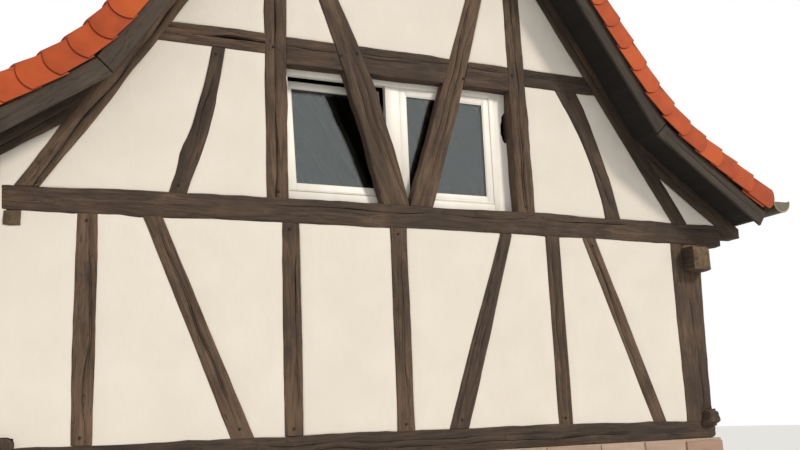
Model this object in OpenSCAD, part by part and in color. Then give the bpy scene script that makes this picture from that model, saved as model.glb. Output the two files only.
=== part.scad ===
// Half timbered house on a sandstone plinth, gable to the front.
// X runs along the gable, Y from the front gable to the rear one, Z up from the ground.
// Heights named *_z are counted from the top of the gable sill beam.

/* [House] */
// Length of the house between the outer faces of its gables
house_l = 9000; // [6000:50:14000]
// Width of the house between the outer faces of its side walls
house_w = 7960; // [7200:10:9000]
// Thickness of the timber walls
wall_t = 200; // [160:5:260]
// Depth of the plaster face behind the timber face
recess = 8; // [4:1:20]

/* [Plinth] */
// Height of the plinth under the gable sills
plinth_h = 1266; // [600:2:1800]
// Thickness of the plinth walls
plinth_t = 450; // [350:10:600]
// How far the plinth stands out from the timber wall
plinth_out = 40; // [0:5:80]

/* [Lower storey of the gable] */
// Depth of the gable sill beam
sill_h = 234; // [180:2:280]
// How far the gable sill beam stays back from the right corner
sill_in = 10; // [0:1:150]
// How far the top of the gable sill beam has sagged at its right end
sill_sag = 40; // [0:5:60]
// Where this sag begins, from the ridge line
sag_start = 1600; // [500:50:2500]
// Top of the side sills above the top of the gable sill
side_sill_z = 100; // [60:5:180]
// Depth of the side sills
side_sill_h = 200; // [150:5:260]
// Width of the side sills
side_sill_w = 220; // [180:5:300]
// How far the worn ends of the side sills stand out of the gable
sill_knob = 100; // [40:5:200]
// Depth that weather has taken off the ends of the side sills all round
knob_wear = 6; // [2:1:15]
// Roundness of the worn ends of the side sills
knob_r = 60; // [20:5:70]
// Centre of the outer lower post, from the left corner
outer_post_in = 760; // [500:5:1200]
// Centres of the other lower posts, from the ridge line
lower_post_x = [-1270, -80, 1850]; // [-1500:5:2000]
// Width of the lower posts
lower_post_w = 185; // [140:5:220]
// Centre of the foot of the left lower brace, from the ridge line
left_brace_foot = -1760; // [-1900:5:-1600]
// Centre of the head of the left lower brace, from the left corner
left_brace_head_in = 1350; // [1000:5:1600]
// Left lower brace, width at foot and head
left_brace_w = [220, 185]; // [120:5:260]
// Middle lower brace, centre at foot and head
mid_brace_x = [510, 1237]; // [200:5:1600]
// Middle lower brace, width at foot and head
mid_brace_w = [230, 150]; // [120:5:260]
// Centre of the foot of the right lower brace, from the right corner
right_brace_foot_in = 830; // [600:5:1000]
// Centre of the head of the right lower brace, from the ridge line
right_brace_head = 2360; // [2100:5:2500]
// Right lower brace, width at foot and head
right_brace_w = [180, 180]; // [120:5:260]
// Width of the corner post at its head
corner_w = 429; // [340:1:500]
// How far the foot of the corner post stays back from the wall corner
corner_toe = 70; // [0:5:120]

/* [Tie beam] */
// Height of the underside of the tie beam at its ends
tie_z = 2080; // [1950:5:2300]
// Depth of the tie beam
tie_h = 255; // [200:5:300]
// Upward bow of the tie beam at its middle
tie_bow = 25; // [0:5:60]
// How much thinner the tie beam is at its left end
tie_taper = 30; // [0:5:60]
// How far the tie beam stays back from the left corner
tie_in = 24; // [5:1:80]
// How far the tie beam stands out past the right corner
tie_out = 374; // [120:2:470]

/* [Wall plates] */
// Depth of the right wall plate
right_plate_h = 332; // [240:2:360]
// Width of the right wall plate
right_plate_w = 258; // [200:2:300]
// How far the right plate stands out of the gable
plate_out = 180; // [40:5:250]
// Height that weather has taken off the end of the right plate
plate_wear = 55; // [10:5:80]
// Depth of the left wall plate
left_plate_h = 136; // [100:2:240]
// Width of the stub that the left plate shows in the gable
left_stub_w = 150; // [80:2:170]
// How far this stub stays back from the left end of the tie beam
left_stub_in = 20; // [5:1:40]

/* [Upper storey of the gable] */
// Left upper post, centre
left_post_x = -1402; // [-1600:2:-1300]
// Left upper post, width
left_post_w = 225; // [160:5:260]
// Right upper post, centre at foot and head
right_post_x = [1527, 1504]; // [1400:2:1650]
// Right upper post, width at foot and head
right_post_w = [215, 205]; // [160:5:300]
// Left strut before the window, centre at foot and head
left_strut_x = [-92, -994]; // [-1200:2:-100]
// Right strut before the window, centre at foot and head
right_strut_x = [200, 1054]; // [150:2:1200]
// Left strut, width at foot and head
left_strut_w = [285, 180]; // [150:1:400]
// Right strut, width at foot and head
right_strut_w = [272, 195]; // [150:1:400]
// Thickness of the struts before the window
strut_t = 120; // [80:5:140]
// Sideways bow of the left and the right strut
strut_bow = [65, 15]; // [0:5:80]
// How much wider the left and the right strut are at their middles
strut_belly = [60, 20]; // [0:5:80]
// Left curved brace, centre at foot and head, from the left corner
left_curved_in = [1563, 1981]; // [1300:1:2200]
// Right curved brace, centre at foot and head, from the right corner
right_curved_in = [1239, 1780]; // [1100:1:1950]
// Left curved brace, width at foot and head
left_curved_w = [165, 135]; // [120:5:260]
// Right curved brace, width at foot and head
right_curved_w = [215, 270]; // [120:5:300]
// How much narrower the right curved brace is at its middle
curved_waist = 45; // [0:5:60]
// Sideways bow of the left and the right curved brace
curved_bow = [25, 75]; // [0:5:100]
// Height of the underside of the rail
rail_z = 3880; // [3700:5:4200]
// Depth of the rail
rail_h = 212; // [160:4:260]
// Depth of the head piece under the rail over the window
head_h = 85; // [40:1:120]
// Height of the underside of the collar
collar_z = 5050; // [4900:10:5300]
// Depth of the collar
collar_h = 200; // [160:5:240]
// Width of the king post on the collar
king_w = 190; // [140:5:240]

/* [Roof frame] */
// How far the rafters stay back from the corner at the top of the tie beam
rafter_in = 150; // [90:1:180]
// Pitch of the rafters
pitch = 56.8; // [55:0.1:58]
// Depth of the rafters
rafter_h = 185; // [140:5:220]
// Thickness of the rafters between the gables
rafter_t = 140; // [100:5:180]
// Where the sprockets leave the rafters, back from the corner
kink_in = 810; // [700:5:950]
// Pitch of the sprockets
sprocket_pitch = 35.1; // [32:0.1:37]
// Depth of the sprockets
sprocket_h = 180; // [140:5:220]
// Reach of the sprockets past the side walls
sprocket_out = 690; // [550:5:750]
// Length of the level cut under the ends of the sprockets
sprocket_cut = 155; // [60:5:200]
// Number of rafter pairs between the gables
truss_count = 7; // [5:1:11]
// Thickness of the attic floor boards
board_t = 30; // [20:1:50]

/* [Roof covering] */
// Height of the tile surface over the rafters, square to them
cover_t = 330; // [240:5:380]
// Thickness of the layer of tiles
tile_t = 100; // [60:5:120]
// Pitch of the tiles at the eaves
eaves_pitch = 32; // [29:0.5:33]
// Reach of the tiles past the side walls
eaves_reach = 860; // [800:1:1020]
// Height of the lower edge of the tiles above the top of the tie beam
eaves_rise = 334; // [250:2:430]
// Radius of the sweep between the two pitches
sweep_r = 2550; // [1200:50:3000]
// How far the roof deck stays back from the ends of the sprockets
deck_back = 70; // [40:5:120]
// Reach of the roof past each gable
verge = 560; // [250:5:700]
// Thickness of the verge boards
verge_board_t = 35; // [20:1:50]
// Open joint between the verge boards at the ridge
verge_joint = 4; // [1:1:10]
// How far the verge boards reach below the tops of the rafters
verge_drop = 110; // [60:5:160]
// How far the verge boards reach above the tops of the rafters
verge_rise = 82; // [60:2:200]
// Thickness of the row of hung tiles along each verge
hung_t = 15; // [10:1:25]
// Gap between the verge boards and the row of hung tiles
hung_gap = 40; // [0:5:60]
// Depth of the row of hung tiles below the tile surface
hung_h = 278; // [200:1:320]
// Radius of the ridge tiles
ridge_r = 135; // [110:5:170]
// Half of the strip along the ridge that the tiles leave free
ridge_gap = 100; // [60:5:105]

/* [Gutters] */
// Thickness of the fascia boards at the eaves
fascia_t = 25; // [15:1:40]
// Outer radius of the half round gutters
gutter_r = 135; // [60:5:150]
// Thickness of the gutter metal
gutter_t = 6; // [2:1:8]
// Centre of the gutters, past the lower edge of the tiles
gutter_out = 46; // [0:1:120]
// Depth of the rims of the gutters below the lower edge of the tiles
gutter_drop = 134; // [100:2:300]
// Width of the gutter brackets
bracket_w = 30; // [20:2:60]
// Thickness of the gutter brackets
bracket_t = 8; // [5:1:15]

/* [Gable windows] */
// Width of the opening at the right that a lining board fills
lining_w = 160; // [20:5:180]
// Distance of the window from the outer wall face
window_back = 128; // [120:2:140]
// Thickness of the window frame
frame_t = 66; // [40:2:70]
// Width of the frame members at the sides and at the head
frame_w = 70; // [45:5:100]
// Height of the bottom member of the frame
frame_sill_h = 100; // [50:5:140]
// Width of the middle member of the frame
mullion_w = 170; // [100:5:200]
// Middle of the middle member
mullion_x = -35; // [-200:5:200]
// Width of the sash members
sash_w = 80; // [50:2:100]
// Thickness of the sashes
sash_t = 54; // [30:2:60]
// Clearance between sash and frame
sash_gap = 0.3; // [0.2:0.1:2]
// Thickness of the double glass
pane_t = 24; // [16:2:28]
// Angle of the tilted sash
tilt = 7; // [0:0.5:10]

/* [Side walls] */
// Number of posts in each side wall
side_posts_n = 7; // [6:1:9]
// Width of the side posts
side_post_w = 180; // [140:5:220]
// Height of the underside of the rails in the side walls
side_rail_z = 700; // [600:10:900]
// Depth of the rails in the side walls
side_rail_h = 150; // [120:5:200]
// Thickness of the plank door
door_t = 50; // [35:1:70]
// Width of the steps at the door
steps_w = 880; // [700:10:980]
// Length of each tread
tread = 290; // [240:5:320]
// Number of risers
risers = 7; // [5:1:9]

/* [Hidden] */

// Steps along one side of a bowed timber
bow_steps = 8;
// Steps along the sweep of the roof
sweep_steps = 10;
// Reach of a cutting shape past what it cuts
over = 400;

half_l = house_l / 2;
half_w = house_w / 2;
inner_l = half_l - wall_t;
sill_top = plinth_h + sill_h;
tie_top = tie_z + tie_h;
tie_crown = tie_top + tie_bow;
// A height that lies inside the tie beam along its whole length
tie_core = tie_z + tie_h / 2;
// A height that the top of the tie beam reaches along its whole length
tie_foot = tie_top - tie_bow - tie_taper;
// A height that the gable sill beam reaches along its whole length
sill_foot = -sill_sag;
corner_left = half_w - corner_w;
sill_right = half_w - sill_in;
tie_left = tie_in - half_w;
tie_right = half_w + tie_out;
outer_post_x = outer_post_in - half_w;
left_brace_x = [left_brace_foot, left_brace_head_in - half_w];
right_brace_x = [half_w - right_brace_foot_in, right_brace_head];
left_curved_x = [for (d = left_curved_in) d - half_w];
right_curved_x = [for (d = right_curved_in) half_w - d];
side_plinth_h = sill_top + side_sill_z - side_sill_h;

// Points of the roof, in the gable plane
rafter_foot = half_w - rafter_in;
kink_x = half_w - kink_in;
sprocket_end = half_w + sprocket_out;
eaves_x = half_w + eaves_reach;
eaves_z = tie_crown + eaves_rise;
gutter_x = eaves_x + gutter_out;
gutter_z = eaves_z - gutter_drop;
kink = [kink_x, steep_z(kink_x, 0)];
// Where the undersides of the sprockets meet the tops of the rafters
root_x = kink_x + sprocket_h / cos(sprocket_pitch) / (tan(pitch) - tan(sprocket_pitch));
root_mid = (kink_x + root_x) / 2;
foot_in = rafter_foot - rafter_h / sin(pitch);
tile_kink_x = (steep_z(0, cover_t) - eaves_z - eaves_x * tan(eaves_pitch)) / (tan(pitch) - tan(eaves_pitch));
deck_end = [sprocket_end - deck_back, shallow_z(sprocket_end - deck_back, 0)];
ridge_c = steep_z(ridge_gap, cover_t);
eaves_edge = [eaves_x, eaves_z];

// Directions along the eaves, down and outwards, and square to them
eaves_dir = [cos(eaves_pitch), -sin(eaves_pitch)];
eaves_up = [sin(eaves_pitch), cos(eaves_pitch)];
sprocket_up = [sin(sprocket_pitch), cos(sprocket_pitch)];
// Direction that halves the corner between rafter and sprocket, stretched to keep square distances
kink_mean = (pitch + sprocket_pitch) / 2;
kink_up = [sin(kink_mean), cos(kink_mean)] / cos((pitch - sprocket_pitch) / 2);

// Lengths along the house
roof_l = house_l + 2 * verge;
tiled_l = roof_l - 2 * hung_t;
deck_l = tiled_l - 2 * (hung_gap + verge_board_t);

// Window bay of the gables, between posts, tie beam and head piece
bay_left = left_post_x + left_post_w / 2;
bay_right = right_post_x[0] - right_post_w[0] / 2;
bay_high = rail_z - head_h;
light_low = tie_crown + frame_sill_h;
light_high = bay_high - frame_w;
left_light = [bay_left + frame_w * 2 / 3, mullion_x - mullion_w / 2];
right_light = [mullion_x + mullion_w / 2, bay_right - lining_w - frame_w];
sash_y = window_back + (frame_t - sash_t) / 2;
pane_y = window_back + (frame_t - pane_t) / 2;

// Bays of the side walls
side_step = (2 * inner_l - side_post_w) / (side_posts_n - 1);
window_bays = [1, side_posts_n - 3];
door_bay = side_posts_n - 4;
door_y = bay(door_bay);
right_plate_low = tie_z - right_plate_h;
left_plate_low = tie_z - left_plate_h;

function side_post_y(i) = -inner_l + side_post_w / 2 + i * side_step;
function bay(i) = [side_post_y(i) + side_post_w / 2, side_post_y(i + 1) - side_post_w / 2];
function truss_y(i) = -inner_l + 2 * inner_l * (i + 1) / (truss_count + 1);

// Height of a line parallel to the rafters, at the distance d above their tops
function steep_z(x, d) = tie_crown + (rafter_foot - x) * tan(pitch) + d / cos(pitch);
// Height of a line parallel to the sprockets, at the distance d above their tops
function shallow_z(x, d) = steep_z(kink_x, 0) - (x - kink_x) * tan(sprocket_pitch) + d / cos(sprocket_pitch);
// Height of a line parallel to the tiles at the eaves, at the distance d below them
function eaves_line_z(x, d) = eaves_z + (eaves_x - x) * tan(eaves_pitch) - d / cos(eaves_pitch);

// Edge points of the tile surface lowered by d, from the ridge to the eaves
function tile_curve(d) =
    let (
        r = sweep_r + d,
        bend = pitch - eaves_pitch,
        cut = r * tan(bend / 2),
        kx = tile_kink_x - d * sin((pitch + eaves_pitch) / 2) / cos(bend / 2),
        kz = eaves_line_z(kx, d),
        start = [kx - cut * cos(pitch), kz + cut * sin(pitch)],
        centre = start + r * [sin(pitch), cos(pitch)]
    )
    concat(
        [[0, steep_z(0, cover_t - d)]],
        [for (i = [0:sweep_steps]) let (a = pitch - bend * i / sweep_steps)
            centre - r * [sin(a), cos(a)]]
    );

function reversed(list) = [for (i = [len(list) - 1:-1:0]) list[i]];
function blend(pair, t) = pair[0] + (pair[1] - pair[0]) * t;

// A timber that stands between two heights, with its centres and widths at foot and head,
// its sideways bow and how much wider it is at its middle
module leaning(x, w, z0, z1, bow = 0, belly = 0) {
    n = bow == 0 && belly == 0 ? 1 : bow_steps;
    side = [for (i = [0:n]) let (t = i / n, swell = 4 * t * (1 - t))
        [blend(x, t) + bow * swell, (blend(w, t) + belly * swell) / 2, z0 + (z1 - z0) * t]];
    polygon(concat(
        [for (p = side) [p[0] - p[1], p[2]]],
        [for (p = reversed(side)) [p[0] + p[1], p[2]]]
    ));
}

// A straight timber that lies between two ends
module lying(x0, x1, z, h) {
    translate([x0, z]) square([x1 - x0, h]);
}

// Raises an outline drawn in the gable plane and gives it a thickness towards the rear
module upright(y, t) {
    translate([0, y + t, sill_top]) rotate([90, 0, 0]) linear_extrude(t) children();
}

// The same outline in both gables
module both_gables(y = 0, t = wall_t) {
    upright(-half_l + y, t) children();
    mirror([0, 1, 0]) upright(-half_l + y, t) children();
}

module both_sides() {
    children();
    mirror([1, 0, 0]) children();
}

// Outlines in the gable plane

module sill_outline() {
    polygon([
        [-half_w, -sill_h], [sill_right, -sill_h], [sill_right, -sill_sag], [sag_start, 0], [-half_w, 0]
    ]);
}

module tie_outline() {
    low = [for (i = [0:bow_steps]) let (t = i / bow_steps)
        [blend([tie_left, tie_right], t), tie_z + tie_bow * 4 * t * (1 - t)]];
    high = [for (i = [0:bow_steps]) let (t = i / bow_steps)
        low[i] + [0, tie_h - tie_taper * (1 - t) * (1 - t)]];
    polygon(concat(low, reversed(high)));
}

module lower_post_outlines() {
    for (x = concat(outer_post_x, lower_post_x))
        leaning([x, x], [lower_post_w, lower_post_w], sill_foot, tie_core);
}

module lower_brace_outlines() {
    leaning(left_brace_x, left_brace_w, sill_foot, tie_z);
    leaning(mid_brace_x, mid_brace_w, sill_foot, tie_z);
    leaning(right_brace_x, right_brace_w, sill_foot, tie_z);
    // The heads run on into the bowed underside of the tie beam
    for (b = [[left_brace_x, left_brace_w], [mid_brace_x, mid_brace_w], [right_brace_x, right_brace_w]])
        translate([b[0][1] - b[1][1] / 2, tie_z]) square([b[1][1], tie_bow]);
}

module corner_post_outline() {
    strip = half_w - right_plate_w;
    polygon([
        [corner_left, sill_foot], [half_w - corner_toe, sill_foot], [half_w, right_plate_low],
        [strip, right_plate_low], [strip, tie_core], [corner_left, tie_core]
    ]);
}

module upper_post_outlines() {
    leaning([left_post_x, left_post_x], [left_post_w, left_post_w], tie_core, collar_z);
    leaning(right_post_x, right_post_w, tie_core, collar_z);
    leaning([0, 0], [king_w, king_w], collar_z + collar_h, steep_z(0, 0));
}

module strut_outlines() {
    leaning(left_strut_x, left_strut_w, tie_top, collar_z, strut_bow[0], strut_belly[0]);
    leaning(right_strut_x, right_strut_w, tie_top, collar_z, strut_bow[1], strut_belly[1]);
    // The feet run down into the tie beam
    for (s = [[left_strut_x[0], left_strut_w[0]], [right_strut_x[0], right_strut_w[0]]])
        translate([s[0] - s[1] / 2, tie_foot]) square([s[1], tie_top - tie_foot]);
}

module curved_brace_outlines() {
    leaning(left_curved_x, left_curved_w, tie_foot, rail_z, curved_bow[0]);
    leaning(right_curved_x, right_curved_w, tie_foot, rail_z, curved_bow[1], -curved_waist);
}

module rail_outline() {
    lying(-rafter_foot, rafter_foot, rail_z, rail_h);
    lying(left_post_x, right_post_x[0], rail_z - head_h, head_h);
}

module collar_outline() {
    lying(-rafter_foot, rafter_foot, collar_z, collar_h);
}

// The space under the rafters' tops and between their undersides
module under_rafters(d) {
    apex = steep_z(0, d);
    polygon([[0, apex], [-apex, apex - apex * tan(pitch)], [apex, apex - apex * tan(pitch)]]);
}

module rafter_outline() {
    intersection() {
        difference() {
            under_rafters(0);
            under_rafters(-rafter_h);
        }
        translate([0, tie_top - tie_taper]) square([half_w + over, steep_z(0, 0)]);
    }
}

// A sprocket, which a cut of the panels takes this deep into the rafter
module sprocket_outline(into = 0) {
    low = sprocket_end - sprocket_cut;
    polygon(concat(
        [
            kink, [sprocket_end, shallow_z(sprocket_end, 0)],
            [sprocket_end, shallow_z(low, -sprocket_h)], [low, shallow_z(low, -sprocket_h)],
            [root_x, steep_z(root_x, 0)]
        ],
        into > 0 ? [[root_mid, steep_z(root_mid, -into)]] : []
    ));
}

// Everything that the upper gable wall fills, up to the middles of its rafters and sprockets
module upper_wall_outline() {
    foot = steep_z(root_mid, -rafter_h / 2);
    intersection() {
        union() {
            under_rafters(-rafter_h / 2);
            both_sides() polygon([
                [0, tie_core], [tie_right, tie_core],
                [tie_right, shallow_z(tie_right, -sprocket_h / 2)],
                [root_x, shallow_z(root_x, -sprocket_h / 2)], [root_mid, foot], [0, foot]
            ]);
        }
        translate([-half_w, tie_core]) square([half_w + tie_right, steep_z(0, 0)]);
    }
}

module window_bay_outline() {
    translate([left_post_x, tie_core])
        square([right_post_x[0] - left_post_x, rail_z - tie_core]);
}

// Plinth and floors

module side_plinth_box() {
    translate([half_w + plinth_out - plinth_t, -inner_l, 0])
        cube([plinth_t, 2 * inner_l, side_plinth_h]);
}

module gable_plinth() {
    difference() {
        translate([-half_w - plinth_out, -half_l - plinth_out, 0])
            cube([house_w + 2 * plinth_out, plinth_t, plinth_h]);
        both_sides() side_plinth_box();
    }
}

module plinth_front() {
    color("rosybrown") gable_plinth();
}

module plinth_rear() {
    color("rosybrown") mirror([0, 1, 0]) gable_plinth();
}

module plinth_right() {
    color("rosybrown") side_plinth_box();
}

module plinth_left() {
    color("rosybrown") mirror([1, 0, 0]) side_plinth_box();
}

module ground_floor() {
    half_room = half_w + plinth_out - plinth_t;
    color("peru") translate([-half_room, -inner_l, plinth_h])
        cube([2 * half_room, 2 * inner_l, sill_h]);
}

// Side sills, with the worn ends that stand out of the gables

module side_sill_bar() {
    translate([half_w - side_sill_w, -half_l, side_plinth_h])
        cube([side_sill_w, house_l, side_sill_h]);
}

module knob_outline() {
    w = side_sill_w - 2 * knob_wear;
    h = side_sill_h - 2 * knob_wear;
    translate([knob_r, 0]) square([w - 2 * knob_r, h]);
    translate([0, knob_r]) square([w, h - 2 * knob_r]);
    for (x = [knob_r, w - knob_r], z = [knob_r, h - knob_r])
        translate([x, z]) circle(r = knob_r, $fn = 32);
}

module side_sill() {
    side_sill_bar();
    translate([half_w - side_sill_w + knob_wear, half_l + sill_knob, side_plinth_h + knob_wear])
        rotate([90, 0, 0]) linear_extrude(house_l + 2 * sill_knob) knob_outline();
}

module door_gap() {
    translate([-half_w - over, door_y[0], sill_top - over])
        cube([2 * over, door_y[1] - door_y[0], over + left_plate_low]);
}

module side_sills() {
    color("sienna") side_sill();
    color("sienna") difference() {
        mirror([1, 0, 0]) side_sill();
        door_gap();
    }
}

module gable_sills() {
    color("sienna") difference() {
        both_gables() sill_outline();
        both_sides() side_sill_bar();
    }
}

// Lower storey of both gables

module corner_posts() {
    color("sienna") difference() {
        both_gables() difference() {
            corner_post_outline();
            tie_outline();
            sill_outline();
        }
        side_sill_bar();
    }
}

module lower_posts() {
    color("sienna") both_gables() difference() {
        lower_post_outlines();
        tie_outline();
        sill_outline();
    }
}

module lower_braces() {
    color("sienna") both_gables() difference() {
        lower_brace_outlines();
        tie_outline();
        sill_outline();
    }
}

module lower_panels() {
    color("linen") difference() {
        both_gables(recess, wall_t - 2 * recess) difference() {
            translate([-half_w, sill_foot]) square([half_w + corner_left, tie_core - sill_foot]);
            tie_outline();
            sill_outline();
            lower_post_outlines();
            lower_brace_outlines();
            left_stub_outline();
        }
        mirror([1, 0, 0]) side_sill_bar();
    }
}

// Tie beams, wall plates and the attic floor

module along_trusses() {
    for (i = [0:truss_count - 1])
        translate([0, truss_y(i) - rafter_t / 2, 0]) children();
}

module front_tie_beam() {
    color("sienna") upright(-half_l, wall_t) tie_outline();
}

module joist() {
    translate([-tie_right, 0, sill_top + tie_z]) cube([2 * tie_right, rafter_t, tie_h]);
}

module tie_beams() {
    color("sienna") mirror([0, 1, 0]) upright(-half_l, wall_t) tie_outline();
    color("sienna") along_trusses() joist();
}

// The ends that stand out of the gables are worn down and round at the top
module plate_end_outline() {
    h = right_plate_h - plate_wear;
    square([right_plate_w, h - plate_wear]);
    square([right_plate_w - plate_wear, h]);
    translate([right_plate_w - plate_wear, h - plate_wear]) circle(r = plate_wear, $fn = 32);
}

module right_plate() {
    low = sill_top + right_plate_low;
    translate([half_w - right_plate_w, -half_l, low])
        cube([right_plate_w, house_l, right_plate_h]);
    translate([half_w - right_plate_w, half_l + plate_out, low]) rotate([90, 0, 0])
        linear_extrude(house_l + 2 * plate_out) plate_end_outline();
}

module left_stub_outline() {
    difference() {
        translate([tie_left + left_stub_in, left_plate_low])
            square([left_stub_w, tie_core - left_plate_low]);
        tie_outline();
    }
}

module left_plate() {
    translate([-half_w, -inner_l, sill_top + left_plate_low])
        cube([wall_t, 2 * inner_l, left_plate_h]);
    both_gables() left_stub_outline();
}

module wall_plates() {
    color("sienna") right_plate();
    color("sienna") left_plate();
}

module attic_floor() {
    half_floor = foot_in - board_t;
    color("peru") translate([-half_floor, -inner_l, sill_top + tie_top])
        cube([2 * half_floor, 2 * inner_l, board_t]);
}

// Upper storey of both gables

module upper_posts() {
    color("sienna") both_gables() difference() {
        intersection() {
            upper_post_outlines();
            under_rafters(-rafter_h);
        }
        tie_outline();
    }
}

module window_struts() {
    color("sienna") both_gables(0, strut_t) difference() {
        strut_outlines();
        tie_outline();
    }
}

module curved_braces() {
    color("sienna") both_gables() difference() {
        curved_brace_outlines();
        tie_outline();
    }
}

module rails() {
    color("sienna") difference() {
        both_gables() difference() {
            intersection() {
                rail_outline();
                under_rafters(-rafter_h);
            }
            upper_post_outlines();
        }
        both_gables(0, strut_t) strut_outlines();
    }
}

module collars() {
    color("sienna") both_gables() intersection() {
        collar_outline();
        under_rafters(-rafter_h);
    }
}

module upper_panels() {
    color("linen") difference() {
        both_gables(recess, wall_t - 2 * recess) difference() {
            upper_wall_outline();
            tie_outline();
            upper_post_outlines();
            curved_brace_outlines();
            rail_outline();
            collar_outline();
            window_bay_outline();
            both_sides() rafter_outline();
            both_sides() sprocket_outline(rafter_h / 2);
        }
        both_gables(0, strut_t) strut_outlines();
    }
}

// Rafters and sprockets, in the gables and between them

module gable_rafters() {
    both_gables() difference() {
        rafter_outline();
        tie_outline();
    }
}

module common_rafters() {
    along_trusses() upright(0, rafter_t) rafter_outline();
}

module right_rafters() {
    color("sienna") gable_rafters();
    color("sienna") common_rafters();
}

module left_rafters() {
    color("sienna") both_gables() difference() {
        mirror([1, 0]) rafter_outline();
        tie_outline();
    }
    color("sienna") mirror([1, 0, 0]) common_rafters();
}

module sprockets() {
    color("sienna") both_sides() {
        both_gables() sprocket_outline();
        along_trusses() upright(0, rafter_t) sprocket_outline();
    }
}

// Roof deck, tiles and ridge

module deck_outline() {
    top = tile_curve(tile_t);
    difference() {
        polygon(concat(
            [[0, steep_z(0, 0)], kink, deck_end],
            [deck_end + over * eaves_up],
            reversed(top)
        ));
        // Nothing of the deck stands above the underside of the tiles
        polygon(concat(
            top,
            [[eaves_x + over, eaves_line_z(eaves_x + over, tile_t)]],
            [[eaves_x + over, steep_z(0, cover_t)], [0, steep_z(0, cover_t)]]
        ));
    }
}

// A layer from the tile surface down to the depth d
module tile_outline(d = tile_t) {
    difference() {
        polygon(concat(
            tile_curve(0), [eaves_edge, eaves_edge - d * eaves_up], reversed(tile_curve(d))
        ));
        translate([0, eaves_z]) square([ridge_gap, steep_z(0, cover_t)]);
    }
}

module roof_side(outline_l) {
    upright(-outline_l / 2, outline_l) children();
}

module right_roof_deck() {
    color("dimgray") roof_side(deck_l) deck_outline();
}

module left_roof_deck() {
    color("dimgray") mirror([1, 0, 0]) roof_side(deck_l) deck_outline();
}

module right_tiles() {
    color("orangered") roof_side(tiled_l) tile_outline();
}

module left_tiles() {
    color("orangered") mirror([1, 0, 0]) roof_side(tiled_l) tile_outline();
}

module ridge_tiles() {
    color("orangered") roof_side(roof_l) difference() {
        union() {
            translate([0, ridge_c]) circle(r = ridge_r, $fn = 48);
            translate([-ridge_r, ridge_c - ridge_r]) square([2 * ridge_r, ridge_r]);
        }
        both_sides() tile_outline();
        under_rafters(cover_t - tile_t);
        // The sides of the strip below the tile surface are left open
        difference() {
            under_rafters(cover_t);
            translate([-ridge_gap, 0]) square([2 * ridge_gap, ridge_c + ridge_r]);
        }
    }
}

// Verge boards and the hung row of tiles

module verge_board_outline() {
    gap = verge_joint / 2;
    polygon([
        [gap, steep_z(gap, verge_rise)], kink + verge_rise * kink_up,
        deck_end + verge_rise * sprocket_up, deck_end - verge_drop * sprocket_up,
        kink - verge_drop * kink_up, [gap, steep_z(gap, -verge_drop)]
    ]);
}

module verge_boards() {
    y = -deck_l / 2 - verge_board_t;
    color("saddlebrown") both_sides() {
        upright(y, verge_board_t) verge_board_outline();
        mirror([0, 1, 0]) upright(y, verge_board_t) verge_board_outline();
    }
}

module verge_tiles() {
    y = -roof_l / 2;
    color("orangered") both_sides() {
        upright(y, hung_t) tile_outline(hung_h);
        mirror([0, 1, 0]) upright(y, hung_t) tile_outline(hung_h);
    }
}

// Eaves

module fascias() {
    color("saddlebrown") both_sides() roof_side(deck_l) difference() {
        polygon([
            deck_end, deck_end + fascia_t * eaves_dir,
            deck_end + fascia_t * eaves_dir + over * eaves_up, deck_end + over * eaves_up
        ]);
        polygon([
            [0, eaves_line_z(0, tile_t)], [eaves_x + over, eaves_line_z(eaves_x + over, tile_t)],
            [eaves_x + over, eaves_line_z(0, tile_t)]
        ]);
        sprocket_outline();
    }
}

module gutter_half() {
    back = gutter_x - gutter_r;
    difference() {
        translate([gutter_x, 0, sill_top + gutter_z]) rotate([90, 0, 0])
            cylinder(h = tiled_l, r = gutter_r, center = true, $fn = 64);
        translate([gutter_x, 0, sill_top + gutter_z]) rotate([90, 0, 0])
            cylinder(h = tiled_l - 2 * gutter_t, r = gutter_r - gutter_t, center = true, $fn = 64);
        translate([gutter_x - 2 * gutter_r, -roof_l / 2, sill_top + gutter_z])
            cube([4 * gutter_r, roof_l, 2 * gutter_r]);
    }
    // Brackets that carry the gutter from the fascia
    for (i = [0:truss_count - 1])
        translate([0, truss_y(i) - bracket_w / 2, 0]) difference() {
            translate([deck_end[0], 0, sill_top + gutter_z - 2 * bracket_t])
                cube([back - deck_end[0] + gutter_t, bracket_w, bracket_t]);
            translate([0, -over, 0]) upright(0, 2 * over) polygon([
                deck_end - over * eaves_up + fascia_t * eaves_dir,
                deck_end + over * eaves_up + fascia_t * eaves_dir,
                [0, steep_z(0, 0)], [0, 0]
            ]);
        }
}

module gutters() {
    color("darkolivegreen") both_sides() gutter_half();
}

// Gable windows

module window_frame_outline() {
    difference() {
        translate([bay_left, tie_core]) square([bay_right - bay_left, bay_high - tie_core]);
        tie_outline();
        for (l = [left_light, right_light])
            translate([l[0], light_low]) square([l[1] - l[0], light_high - light_low]);
    }
}

module window_frames() {
    color("white") both_gables(window_back, frame_t) window_frame_outline();
}

module sash_outline(light) {
    difference() {
        translate([light[0] + sash_gap, light_low + sash_gap])
            square([light[1] - light[0] - 2 * sash_gap, light_high - light_low - 2 * sash_gap]);
        translate([light[0] + sash_w, light_low + sash_w])
            square([light[1] - light[0] - 2 * sash_w, light_high - light_low - 2 * sash_w]);
    }
}

module pane_outline(light) {
    translate([light[0] + sash_w, light_low + sash_w])
        square([light[1] - light[0] - 2 * sash_w, light_high - light_low - 2 * sash_w]);
}

// Turns the left sash of the front window about its lower inner edge, into the room
module tilted() {
    pivot = [0, -half_l + sash_y + sash_t, sill_top + light_low + sash_gap];
    translate(pivot) rotate([-tilt, 0, 0]) translate(-pivot) children();
}

module tilted_sash() {
    color("white") tilted() upright(-half_l + sash_y, sash_t) sash_outline(left_light);
}

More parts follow.
